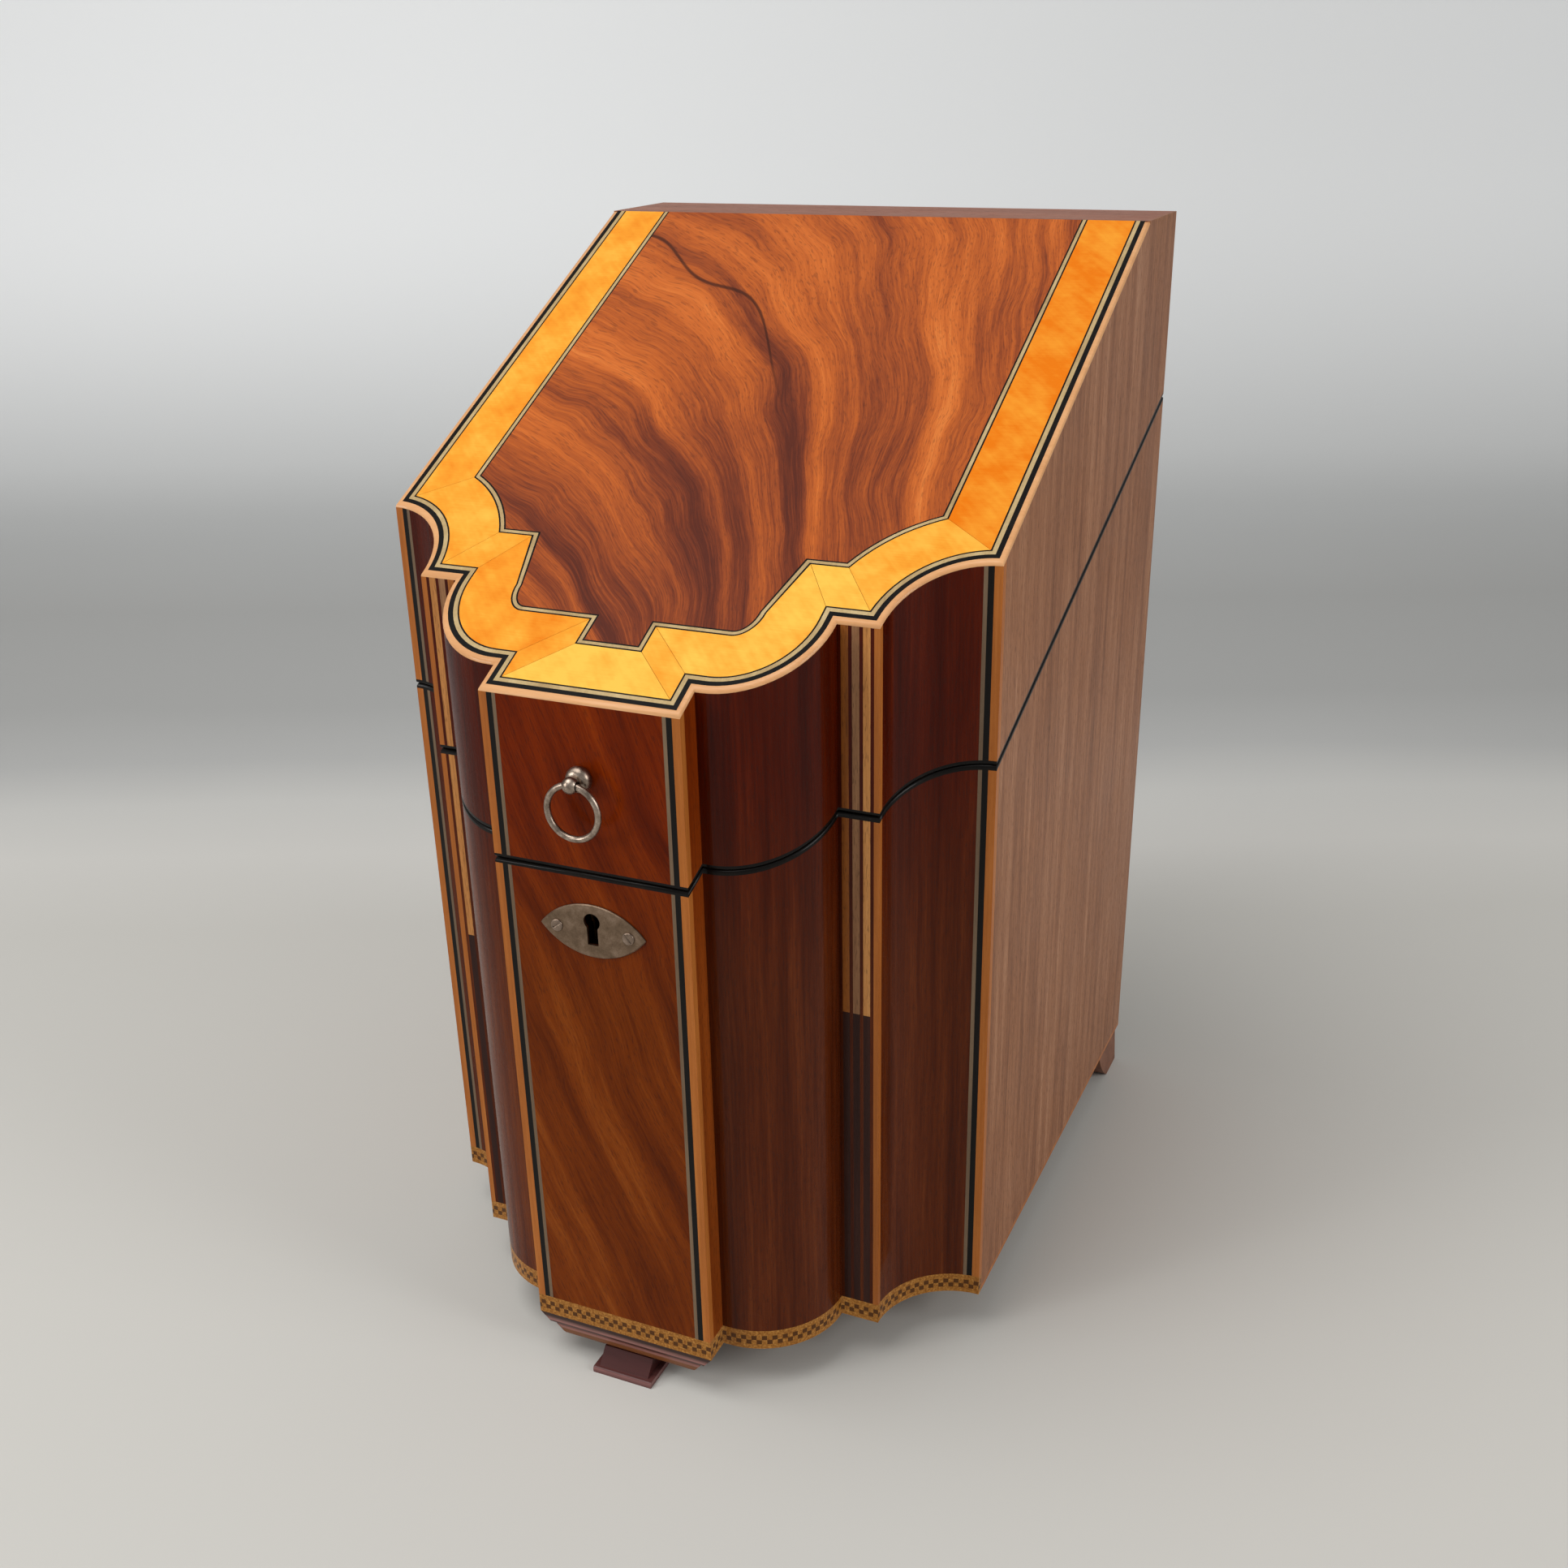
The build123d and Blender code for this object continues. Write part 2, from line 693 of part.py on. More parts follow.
# ---------------------------------------------------------------- case
for side, sign in sides:
    with BuildPart() as case_ovolo:
        add(in_case(kept(walls, ovolo_zone, signs=(sign,))))
        cut(case_rim_string, base_banding)
    save(case_ovolo, f"case_ovolo_{side}")

    with BuildPart() as case_pilaster:
        add(in_case(kept(walls, pilaster_zone, signs=(sign,))))
        cut(*case_inlay)
    save(case_pilaster, f"case_pilaster_{side}")

    with BuildPart() as case_side_veneer:
        add(in_case(oblongs(side_veneer_zone, signs=(sign,)), foot_height + base_string))
        cut(case_rim_string)
    save(case_side_veneer, f"case_side_veneer_{side}")

    with BuildPart() as case_cavetto:
        add(in_case(kept(walls, cavetto_zone, signs=(sign,))))
        add(in_case(side_veneer_shape), mode=Mode.SUBTRACT)
        cut(*case_inlay)
    save(case_cavetto, f"case_cavetto_{side}")

    with BuildPart() as case_side:
        add(in_case(oblongs(side_zone, signs=(sign,))))
        cut(case_rim_string)
    save(case_side, f"case_side_{side}")

with BuildPart() as case_block:
    add(in_case(kept(walls, block_zone)))
    cut(*case_inlay, case_block_veneer, lock_space, case_screws, keyhole, escutcheon_pins)
save(case_block, "case_block")

with BuildPart() as case_back:
    add(in_case(oblongs(back_zone)))
    cut(case_rim_string, case_leaf_space, case_screws)
save(case_back, "case_back")

with BuildPart() as bottom_board_piece:
    bottom_shape = kept(inside, (0, half_width, 0, back_y))
    add(between(bottom_shape, plan(foot_height), plan(foot_height + bottom_board)))
save(bottom_board_piece, "bottom_board")

with BuildPart() as bored_case_veneer:
    add(case_block_veneer.part)
    cut(keyhole, escutcheon_pins)
save(bored_case_veneer, "case_block_veneer")

save(case_rim_string, "case_rim_string")
save(base_banding, "base_band")
save(case_light_strings, "case_light_strings")
save(case_black_strings, "case_black_strings")
save(case_flutes, "case_flutes")
save(stop_flutes, "stop_flutes")

# ---------------------------------------------------------------- feet
def apron_edge(draw):
    # the stepped edge of the apron's two mouldings, as draws inwards and heights
    middle = foot_height - apron_height / 2
    return (
        (0, foot_height),
        ((draw - apron_step) / 2, middle),
        ((draw + apron_step) / 2, middle),
        (draw, foot_height - apron_height),
    )


with BuildPart() as front_apron:
    with BuildSketch(facing(0)):
        with BuildLine():
            right = [(block_half - draw, z) for draw, z in apron_edge(apron_draw)]
            run((0, foot_height), *right, (0, foot_height - apron_height))
            mirror(about=Plane.YZ)
        make_face()
    extrude(amount=-apron_depth)
    with BuildSketch(profile()):
        with BuildLine():
            face_edge = apron_edge(apron_back)
            rear_edge = ((apron_depth, foot_height - apron_height), (apron_depth, foot_height))
            run(*face_edge, *rear_edge, face_edge[0])
        make_face()
    extrude(amount=half_width, both=True, mode=Mode.INTERSECT)
save(front_apron, "front_apron")

with BuildPart() as front_foot:
    with BuildSketch(profile()):
        with BuildLine():
            foot_top = foot_height - apron_height
            run(
                (apron_back, foot_top),
                (toe_step - toe_reach, toe_height),
                (toe_step - toe_reach, 0),
                (front_foot_depth, 0),
                (front_foot_depth, foot_top),
                (apron_back, foot_top),
            )
        make_face()
    extrude(amount=front_foot_width / 2, both=True)
    toe_half = front_foot_width / 2 + toe_spread
    add(between(oblongs((0, toe_half, -toe_reach, front_foot_depth)), plan(0), plan(toe_height)))
save(front_foot, "front_foot")

for side, sign in sides:
    with BuildPart() as rear_foot:
        foot_x = half_width - rear_foot_inset
        foot_y = depth - rear_foot_inset
        base_point = (foot_y - rear_foot_base, 0)
        top_point = (foot_y - rear_foot_length, foot_height)
        with BuildSketch(profile()):
            with BuildLine():
                Line(top_point, (foot_y, foot_height))
                Line((foot_y, foot_height), (foot_y, 0))
                Line((foot_y, 0), base_point)
                SagittaArc(base_point, top_point, rear_foot_sag)
            make_face()
        extrude(amount=half_width, both=True)
        with BuildSketch(facing(0)):
            with BuildLine():
                inner = foot_x - rear_foot_width
                flare_x = foot_x + rear_foot_flare
                corners = ((inner, foot_height), (foot_x, foot_height), (flare_x, 0), (inner, 0))
                run(*[(sign * x, z) for x, z in (*corners, corners[0])])
            make_face()
        extrude(amount=-depth, mode=Mode.INTERSECT)
    save(rear_foot, f"rear_foot_{side}")

# ---------------------------------------------------------------- cutlery board
board_low = -board_drop - board_thickness
board_back = back_y - board_clearance
with BuildPart() as cutlery_board:
    board_shape = kept(outline(wall + board_clearance, block=False), (0, half_width, 0, board_back))
    add(between(board_shape, rim_plane(board_low), rim_plane(-board_drop)))
    slot_middle = slot_first_row + (slot_rows - 1) / 2 * slot_pitch_y
    spoon_row = slot_first_row + (slot_rows - 1) * slot_pitch_y + spoon_gap
    with BuildSketch(plan(0)):
        with Locations((0, slot_middle)):
            with GridLocations(slot_pitch_x, slot_pitch_y, slot_columns, slot_rows):
                Rectangle(slot_length, slot_width)
        with Locations((0, spoon_row)):
            with GridLocations(spoon_pitch, spoon_pitch, spoon_slots, 1):
                SlotOverall(spoon_length, spoon_width)
    extrude(amount=land_z, mode=Mode.SUBTRACT)
save(cutlery_board, "cutlery_board")

with BuildPart() as board_ledges:
    ledge_x = inner_x - ledge_width
    ledge_y = back_y - ledge_width
    ledge_zones = (
        (ledge_x, inner_x, side_start, back_y),
        (0, ledge_x - board_clearance, ledge_y, back_y),
        (0, ovolo_x, inner_front, inner_front + ledge_width),
    )
    for zone in ledge_zones:
        add(between(oblongs(zone), rim_plane(board_low - ledge_thickness), rim_plane(board_low)))
save(board_ledges, "board_ledges")

# ---------------------------------------------------------------- lid
for side, sign in sides:
    with BuildPart() as lid_ovolo:
        add(in_lid(kept(walls, ovolo_zone, signs=(sign,)), drop=top_veneer))
        cut(lid_rim_string, edge_stringing)
    save(lid_ovolo, f"lid_ovolo_{side}")

    with BuildPart() as lid_pilaster:
        add(in_lid(kept(walls, pilaster_zone, signs=(sign,)), drop=top_veneer))
        cut(*lid_inlay)
    save(lid_pilaster, f"lid_pilaster_{side}")

    with BuildPart() as lid_side_veneer:
        add(in_lid(oblongs(side_veneer_zone, signs=(sign,))))
        cut(lid_rim_string, edge_stringing)
    save(lid_side_veneer, f"lid_side_veneer_{side}")

    with BuildPart() as lid_cavetto:
        add(in_lid(kept(walls, cavetto_zone, signs=(sign,)), drop=top_veneer))
        add(in_lid(side_veneer_shape), mode=Mode.SUBTRACT)
        cut(*lid_inlay)
    save(lid_cavetto, f"lid_cavetto_{side}")

    with BuildPart() as lid_side:
        add(in_lid(oblongs(side_zone, signs=(sign,)), drop=top_veneer, land_drop=land_rail))
        cut(lid_rim_string, edge_stringing)
    save(lid_side, f"lid_side_{side}")

with BuildPart() as lid_block:
    add(in_lid(kept(walls, block_zone), drop=top_veneer))
    cut(*lid_inlay, lid_block_veneer, link_plate_blank, lid_screws, ring_boss)
save(lid_block, "lid_block")

with BuildPart() as bored_lid_veneer:
    add(lid_block_veneer.part)
    cut(ring_boss)
save(bored_lid_veneer, "lid_block_veneer")

with BuildPart() as lid_back:
    add(in_lid(oblongs(back_zone), land_drop=land_rail))
    cut(lid_rim_string, lid_leaf_space, lid_screws)
save(lid_back, "lid_back")

with BuildPart() as land_rail_piece:
    add(between(oblongs((0, veneer_x, slope_end, depth)), plan(land_z - land_rail), plan(land_z)))
save(land_rail_piece, "land_rail")

with BuildPart() as lid_top_board:
    add(on_slope(inside, top_veneer, top_veneer + top_board))
save(lid_top_board, "lid_top_board")

with BuildPart() as field_veneer:
    add(on_slope(outline(field_inset, lid_cos, band_lean)))
save(field_veneer, "field_veneer")

with BuildSketch() as mitres:
    outer_turns = turns(border, lid_cos)
    inner_turns = turns(crossband_end, lid_cos, band_lean)
    for (x0, y0), (x1, y1) in zip(outer_turns, inner_turns):
        for sign in (1, -1):
            with Locations((sign * (x0 + x1) / 2, (y0 + y1) / 2)):
                angle = degrees(atan2(y1 - y0, sign * (x1 - x0)))
                Rectangle(hypot(x1 - x0, y1 - y0) + 2 * field_line, mitre_gap, rotation=angle)

with BuildPart() as crossbanding:
    crossband_shape = less(outline(border, lid_cos), outline(crossband_end, lid_cos, band_lean))
    add(on_slope(less(crossband_shape, mitres.sketch)))
save(crossbanding, "crossbanding")

save(lid_rim_string, "lid_rim_string")
save(edge_stringing, "edge_string")
save(lid_light_strings, "lid_light_strings")
save(lid_black_strings, "lid_black_strings")
save(lid_flutes, "lid_flutes")
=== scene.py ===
import json
import math

import bmesh
import bpy
from mathutils import Matrix, Vector


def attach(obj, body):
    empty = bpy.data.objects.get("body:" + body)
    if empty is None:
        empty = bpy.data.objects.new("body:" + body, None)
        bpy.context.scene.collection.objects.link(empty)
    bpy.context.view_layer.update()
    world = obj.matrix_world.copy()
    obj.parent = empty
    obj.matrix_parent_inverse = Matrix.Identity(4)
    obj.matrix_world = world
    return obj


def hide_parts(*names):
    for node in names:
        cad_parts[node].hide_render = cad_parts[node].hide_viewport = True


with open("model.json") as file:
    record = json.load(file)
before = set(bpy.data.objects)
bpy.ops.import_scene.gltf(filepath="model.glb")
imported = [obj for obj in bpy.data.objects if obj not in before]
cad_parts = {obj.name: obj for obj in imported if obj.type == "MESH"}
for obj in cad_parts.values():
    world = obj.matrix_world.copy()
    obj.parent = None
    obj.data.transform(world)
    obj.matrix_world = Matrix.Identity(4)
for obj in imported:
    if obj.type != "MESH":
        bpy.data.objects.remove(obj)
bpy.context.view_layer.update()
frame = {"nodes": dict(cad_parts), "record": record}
nodes = frame["nodes"]
bodies = frame["record"]["behaviour"]["bodies"]
bodyOf = {node: body for body, members in bodies.items() for node in members}
print("frame loaded:", len(nodes), "nodes")

# the box's planes, in metres and degrees: y runs to the back, z up from the table; the front is the
# block's face, and the lid's height is that of its top there
place = {"front": -0.1396, "lidHeight": 0.264, "joint": 20.9, "slope": 26.57}
milli = 1000  # millimetres in a metre


def rising(degrees):
    # the way up a plane that rises to the back, and the way square out of it
    up = Vector((0, math.cos(math.radians(degrees)), math.sin(math.radians(degrees))))
    return up, Vector((0, -up.z, up.y))


slopeUp, slopeOut = rising(place["slope"])
jointOut = rising(place["joint"])[1]


def paint(colour):
    # a colour as it is seen on screen, 0 to 255, made linear by the sRGB curve
    def straight(value):
        value /= 255
        return value / 12.92 if value <= 0.04045 else ((value + 0.055) / 1.055) ** 2.4

    return (*(straight(value) for value in colour), 1)


def evenly(colours, low=0.0, high=1.0):
    # ramp stops at even steps between two values
    return [(low + (high - low) * i / (len(colours) - 1), colour) for i, colour in enumerate(colours)]


class Wire:
    # a socket of a finish, so that shader maths reads as Python
    def __init__(self, finish, socket):
        self.finish = finish
        self.socket = socket

    def __add__(self, other):
        return self.finish.maths("ADD", self, other)

    def __sub__(self, other):
        return self.finish.maths("SUBTRACT", self, other)

    def __rsub__(self, other):
        return self.finish.maths("SUBTRACT", other, self)

    def __mul__(self, other):
        return self.finish.maths("MULTIPLY", self, other)

    def __truediv__(self, other):
        return self.finish.maths("DIVIDE", self, other)

    def __pow__(self, other):
        return self.finish.maths("POWER", self, other)


class Finish:
    # a material, built up node by node
    def __init__(self, name):
        self.material = bpy.data.materials.new(name)
        self.material.use_nodes = True
        self.tree = self.material.node_tree
        self.tree.nodes.clear()

    def node(self, kind, settings=None, sockets=None, output=0):
        made = self.tree.nodes.new(kind)
        for key, value in (settings or {}).items():
            setattr(made, key, value)
        for key, value in (sockets or {}).items():
            if isinstance(value, Wire):
                self.tree.links.new(value.socket, made.inputs[key])
            else:
                made.inputs[key].default_value = value
        return Wire(self, made.outputs[output]) if made.outputs else None

    def maths(self, operation, *values):
        return self.node("ShaderNodeMath", {"operation": operation}, dict(enumerate(values)))

    def along(self, direction):
        # millimetres from the frame's origin along a direction
        where = self.node("ShaderNodeTexCoord", output="Object")
        sockets = {0: where, 1: Vector(direction).normalized() * milli}
        return self.node("ShaderNodeVectorMath", {"operation": "DOT_PRODUCT"}, sockets, "Value")

    def axes(self):
        return [self.along(axis) for axis in ((1, 0, 0), (0, 1, 0), (0, 0, 1))]

    def noise(self, spot, detail=2.0, roughness=0.5):
        # the spot's three values are lengths, each divided by the size of the noise that way
        vector = self.node("ShaderNodeCombineXYZ", None, dict(enumerate(spot)))
        sockets = {"Vector": vector, "Scale": 1.0, "Detail": detail, "Roughness": roughness}
        return self.node("ShaderNodeTexNoise", None, sockets)

    def layer(self, setting, x, y, third, **settings):
        # a noise about zero; its setting is the size along x, the size along y and the strength
        width, length, strength = setting
        return (self.noise((x / width, y / length, third), **settings) - 0.5) * strength

    def ramp(self, value, stops):
        # the stops' colours are as seen on screen
        colour = self.node("ShaderNodeValToRGB", None, {"Fac": value}, "Color")
        elements = colour.socket.node.color_ramp.elements
        while len(elements) < len(stops):
            elements.new(1)
        for i, (position, shown) in enumerate(stops):
            elements[i].position = position
            elements[i].color = paint(shown)
        return colour

    def between(self, value, low, high):
        # 0 below low, 1 above high, smooth in the middle
        sockets = {"Value": value, "From Min": low, "From Max": high}
        return self.node("ShaderNodeMapRange", {"interpolation_type": "SMOOTHSTEP"}, sockets)

    def blend(self, share, first, second, mode="MIX"):
        # sockets 0, 6 and 7 and output 2 are the ones a colour mix uses
        settings = {"data_type": "RGBA", "blend_type": mode}
        return self.node("ShaderNodeMix", settings, {0: share, 6: first, 7: second}, 2)

    def bump(self, height, distance, strength):
        sockets = {"Height": height, "Distance": distance, "Strength": strength}
        return self.node("ShaderNodeBump", None, sockets)

    def surface(self, sockets):
        surface = self.node("ShaderNodeBsdfPrincipled", None, sockets)
        self.node("ShaderNodeOutputMaterial", None, {"Surface": surface})
        return self.material


# what every wood shares; widths and lengths are in millimetres, the bump's depth is in metres
woodDefaults = {
    "bend": 3.0,
    "bendLength": 90,
    "figureWidth": 9.0,
    "figureLength": 160,
    "contrast": 1.3,
    "fibre": 0.5,
    "fibreWidth": 0.8,
    "fibreLength": 26,
    "pores": 0.35,
    "poreWidth": 0.34,
    "poreLength": 3.2,
    "poreEdge": (0.55, 0.68),
    "poreColour": (40, 18, 12),
    "poreRough": 0.08,
    "poreDepth": 0.7,
    "bumpDepth": 0.00004,
    "bumpStrength": 0.5,
    "roughness": 0.34,
    "smear": 0.16,
    "smearSize": 34,
    "specular": 0.09,
    "polish": 0.1,
    "coat": 0.1,
    "keyhole": False,
}


def grained(shade, across, depth, along, look):
    # a broad figure, fibres and pores that follow the grain; the three directions are in millimetres
    bend = shade.noise([way / look["bendLength"] for way in (across, depth, along)])
    across = across + (bend - 0.5) * look["bend"]

    def streaks(width, length, **settings):
        return shade.noise((across / width, depth / width, along / length), **settings)

    figure = streaks(look["figureWidth"], look["figureLength"], detail=3.0, roughness=0.6)
    fibres = streaks(look["fibreWidth"], look["fibreLength"], detail=3.0, roughness=0.65)
    pores = shade.between(streaks(look["poreWidth"], look["poreLength"], detail=1.0), *look["poreEdge"])
    tone = (figure - 0.5) * look["contrast"] + (fibres - 0.5) * look["fibre"] + 0.5
    colour = shade.ramp(tone, evenly(look["colours"]))
    if "upper" in look:
        # darker and redder towards the top: the lid's wood is redder than the case's, and the darkening is
        # painted shade, standing for the light thrown up from the floor onto the lower case
        high = shade.between(shade.along((0, 0, 1)), *look["upperFrom"])
        colour = shade.blend(high, colour, paint(look["upper"]), "MULTIPLY")
    return shade.blend(pores * look["pores"], colour, paint(look["poreColour"])), pores


def polished(shade, colour, pits, **look):
    # french polish: a fairly even gloss with faint smears, and pores that are nearly filled
    look = {**woodDefaults, **look}
    smears = shade.noise([way / look["smearSize"] for way in shade.axes()], detail=3.0, roughness=0.6)
    return shade.surface(
        {
            "Base Color": colour,
            "Roughness": (smears - 0.5) * look["smear"] + pits * look["poreRough"] + look["roughness"],
            "Specular IOR Level": look["specular"],
            "Coat Weight": look["polish"],
            "Coat Roughness": look["coat"],
            "Normal": shade.bump(1 - pits * look["poreDepth"], look["bumpDepth"], look["bumpStrength"]),
        }
    )


# painted shade in the hole for the key: the wood behind the block's face is painted black there; its
# middle's height, how far it reaches round that and how far behind the block's face it starts, in
# millimetres
keyhole = {"height": 185.6, "reach": (6.5, 8), "behind": (0.05, 0.2), "colour": (10, 6, 5)}


def wood(name, lie, **look):
    # a straight-grained wood: how its grain lies, then what differs from the defaults
    look = {**woodDefaults, **look}
    shade = Finish(name)
    grain, across = (Vector(way).normalized() for way in lie)
    ways = [shade.along(way) for way in (across, across.cross(grain), grain)]
    colour, pores = grained(shade, *ways, look)
    # painted shade: the wood in the hole for the key is painted black, standing for the shade in the hole
    if look["keyhole"]:
        x, y, z = shade.axes()
        away = (x * x + (z - keyhole["height"]) ** 2) ** 0.5
        behind = shade.between(y - milli * place["front"], *keyhole["behind"])
        inside = behind * (1 - shade.between(away, *keyhole["reach"]))
        colour = shade.blend(inside, colour, paint(keyhole["colour"]))
    return polished(shade, colour, pores, **look)


# how a wood lies: the way of its grain, then one way across it
upright = ((0, 0, 1), (1, 1, 0))
sweeping = ((0.36, 0, -0.93), (0.93, 0.2, 0.36))
lengthwise = ((0, 1, 0), (1, 0, 0))
sideways = ((1, 0, 0), (0, 1, 0))

# the colours run from dark to light; upper tints the wood between two heights, in millimetres, as the lid's
# redder wood and as painted shade towards the top
woods = {
    "frontMahogany": {
        "lie": upright,
        "colours": ((58, 20, 5), (74, 28, 7), (88, 37, 11), (106, 50, 18)),
        "figureWidth": 4.5,
        "contrast": 1.9,
        "fibre": 0.9,
        "upper": (218, 150, 96),
        "upperFrom": (150, 250),
        "roughness": 0.26,
        "specular": 0.05,
        "polish": 0.12,
        "coat": 0.06,
    },
    "blockMahogany": {
        "lie": sweeping,
        "colours": ((74, 26, 3), (98, 39, 4), (116, 51, 7), (140, 70, 18)),
        "bend": 14.0,
        "bendLength": 70,
        "figureWidth": 10.0,
        "figureLength": 110,
        "contrast": 1.9,
        "fibre": 0.7,
        "upper": (255, 200, 90),
        "upperFrom": (150, 240),
        "roughness": 0.32,
        "specular": 0.04,
        "polish": 0.05,
        "keyhole": True,
    },
    "returnMahogany": {
        "lie": upright,
        "colours": ((92, 38, 9), (116, 52, 14), (138, 66, 20), (158, 80, 30)),
        "figureWidth": 5.0,
        "contrast": 1.2,
        "upper": (230, 190, 140),
        "upperFrom": (150, 250),
        "roughness": 0.32,
        "specular": 0.05,
        "polish": 0.05,
        "keyhole": True,
    },
    "sideMahogany": {
        "lie": upright,
        "colours": ((114, 71, 45), (136, 88, 58), (154, 104, 71), (172, 124, 92)),
        "figureWidth": 6.0,
        "contrast": 1.7,
        "fibre": 1.4,
        "pores": 0.5,
        "poreColour": (92, 58, 42),
        "roughness": 0.42,
        "polish": 0.08,
    },
    "landMahogany": {
        "lie": sideways,
        "colours": ((112, 58, 36), (146, 84, 56), (172, 106, 72)),
        "roughness": 0.36,
    },
    "liningMahogany": {
        "lie": sideways,
        "colours": ((88, 44, 26), (116, 62, 38), (140, 82, 52)),
        "roughness": 0.45,
        "polish": 0.15,
    },
    "innerMahogany": {
        "lie": lengthwise,
        "colours": ((84, 44, 28), (108, 60, 38), (130, 78, 50)),
        "roughness": 0.5,
        "polish": 0.05,
    },
    "carcase": {
        "lie": sideways,
        "colours": ((104, 70, 42), (134, 94, 58), (160, 116, 74)),
        "figureWidth": 12.0,
        "pores": 0.15,
        "poreColour": (80, 50, 30),
        "roughness": 0.62,
        "polish": 0.0,
    },
    "boxwood": {
        "lie": upright,
        "colours": ((128, 68, 26), (166, 96, 40), (198, 126, 62)),
        "contrast": 1.0,
        "figureWidth": 5.0,
        "pores": 0.1,
        "poreColour": (90, 50, 22),
    },
    "brownFlute": {"lie": upright, "colours": ((116, 62, 20), (146, 84, 32), (170, 104, 48)), "fibre": 0.9},
    "pinkFlute": {"lie": upright, "colours": ((120, 80, 52), (150, 108, 74), (178, 132, 92)), "fibre": 0.9},
    "paleFlute": {"lie": upright, "colours": ((160, 102, 50), (196, 134, 74), (216, 158, 98)), "fibre": 0.9},
    "greyString": {
        "lie": upright,
        "colours": ((84, 66, 50), (112, 92, 72), (140, 118, 92)),
        "pores": 0.1,
        "roughness": 0.36,
    },
    "slopeString": {
        "lie": lengthwise,
        "colours": ((150, 122, 82), (184, 158, 112), (206, 184, 140)),
        "pores": 0.1,
    },
    "ebony": {
        "lie": upright,
        "colours": ((8, 6, 5), (14, 11, 9), (26, 20, 16)),
        "pores": 0.2,
        "poreColour": (6, 5, 5),
        "roughness": 0.3,
    },
    "stopWood": {"lie": upright, "colours": ((34, 16, 13), (50, 25, 19), (70, 38, 28)), "pores": 0.3},
    "edgeString": {
        "lie": sideways,
        "colours": ((190, 134, 86), (212, 156, 106), (226, 176, 128)),
        "contrast": 1.0,
        "pores": 0.08,
        "poreColour": (150, 96, 56),
        "roughness": 0.3,
        "polish": 0.2,
    },
    "rearFootWood": {
        "lie": sideways,
        "colours": ((88, 50, 34), (122, 76, 54), (148, 98, 72)),
        "roughness": 0.4,
    },
}
finishes = {name: wood(name, **look) for name, look in woods.items()}
print("plain woods made:", len(finishes))

# the lid's flame-figured field: streaks rise from the front and lean over to the left; u runs to the
# right and v up the slope from the block's face, both in millimetres
field = {
    "colours": (
        (0.0, (86, 36, 22)),
        (0.25, (118, 52, 26)),
        (0.45, (152, 72, 30)),
        (0.65, (178, 88, 33)),
        (0.85, (198, 103, 41)),
        (1.0, (210, 118, 52)),
    ),
    # a streak is a line on which v + start + rise * e ** (u / spread) stays the same; flow turns the
    # logarithm of that into about as many millimetres across the streaks
    "spread": 65.0,
    "rise": 100.0,
    "start": 60,
    "flow": 110,
    # size across and size up the slope, then how many millimetres the waves push
    "largeWave": (70, 90, 26),
    "smallWave": (26, 44, 10),
    # size across the streaks and size up the slope, then how strongly each shows
    "streaks": (9, 300, 1.7),
    "ribbons": (3.2, 90, 0.5),
    "fibres": (0.55, 20, 0.8),
    "fibreDrift": 60,
    "poreSize": (0.3, 3.4, 14),
    "poreEdge": (0.56, 0.68),
    "pores": 0.35,
    "poreColour": (70, 30, 20),
    # darker at the front, lighter at the back and dark again in the middle
    "front": {"lean": 0.1, "span": (10, 150), "dark": 0.24},
    "back": {"lean": 0.6, "span": (100, 230), "light": 0.08},
    "middle": {"u": 8, "v": 125, "squash": 0.6, "span": (5, 85), "dark": 0.2},
    # a healed crack along the streaks, from the left edge to the middle
    "crack": {
        "line": 332.0,
        "wave": 5.5,
        "waveLength": 60.0,
        "waveFrom": 24,
        "width": (0.4, 1.5),
        "span": (140, 185),
        "share": 0.8,
        "colour": (52, 20, 10),
    },
    "finish": {"roughness": 0.3, "polish": 0.2, "smear": 0.14, "coat": 0.14},
}


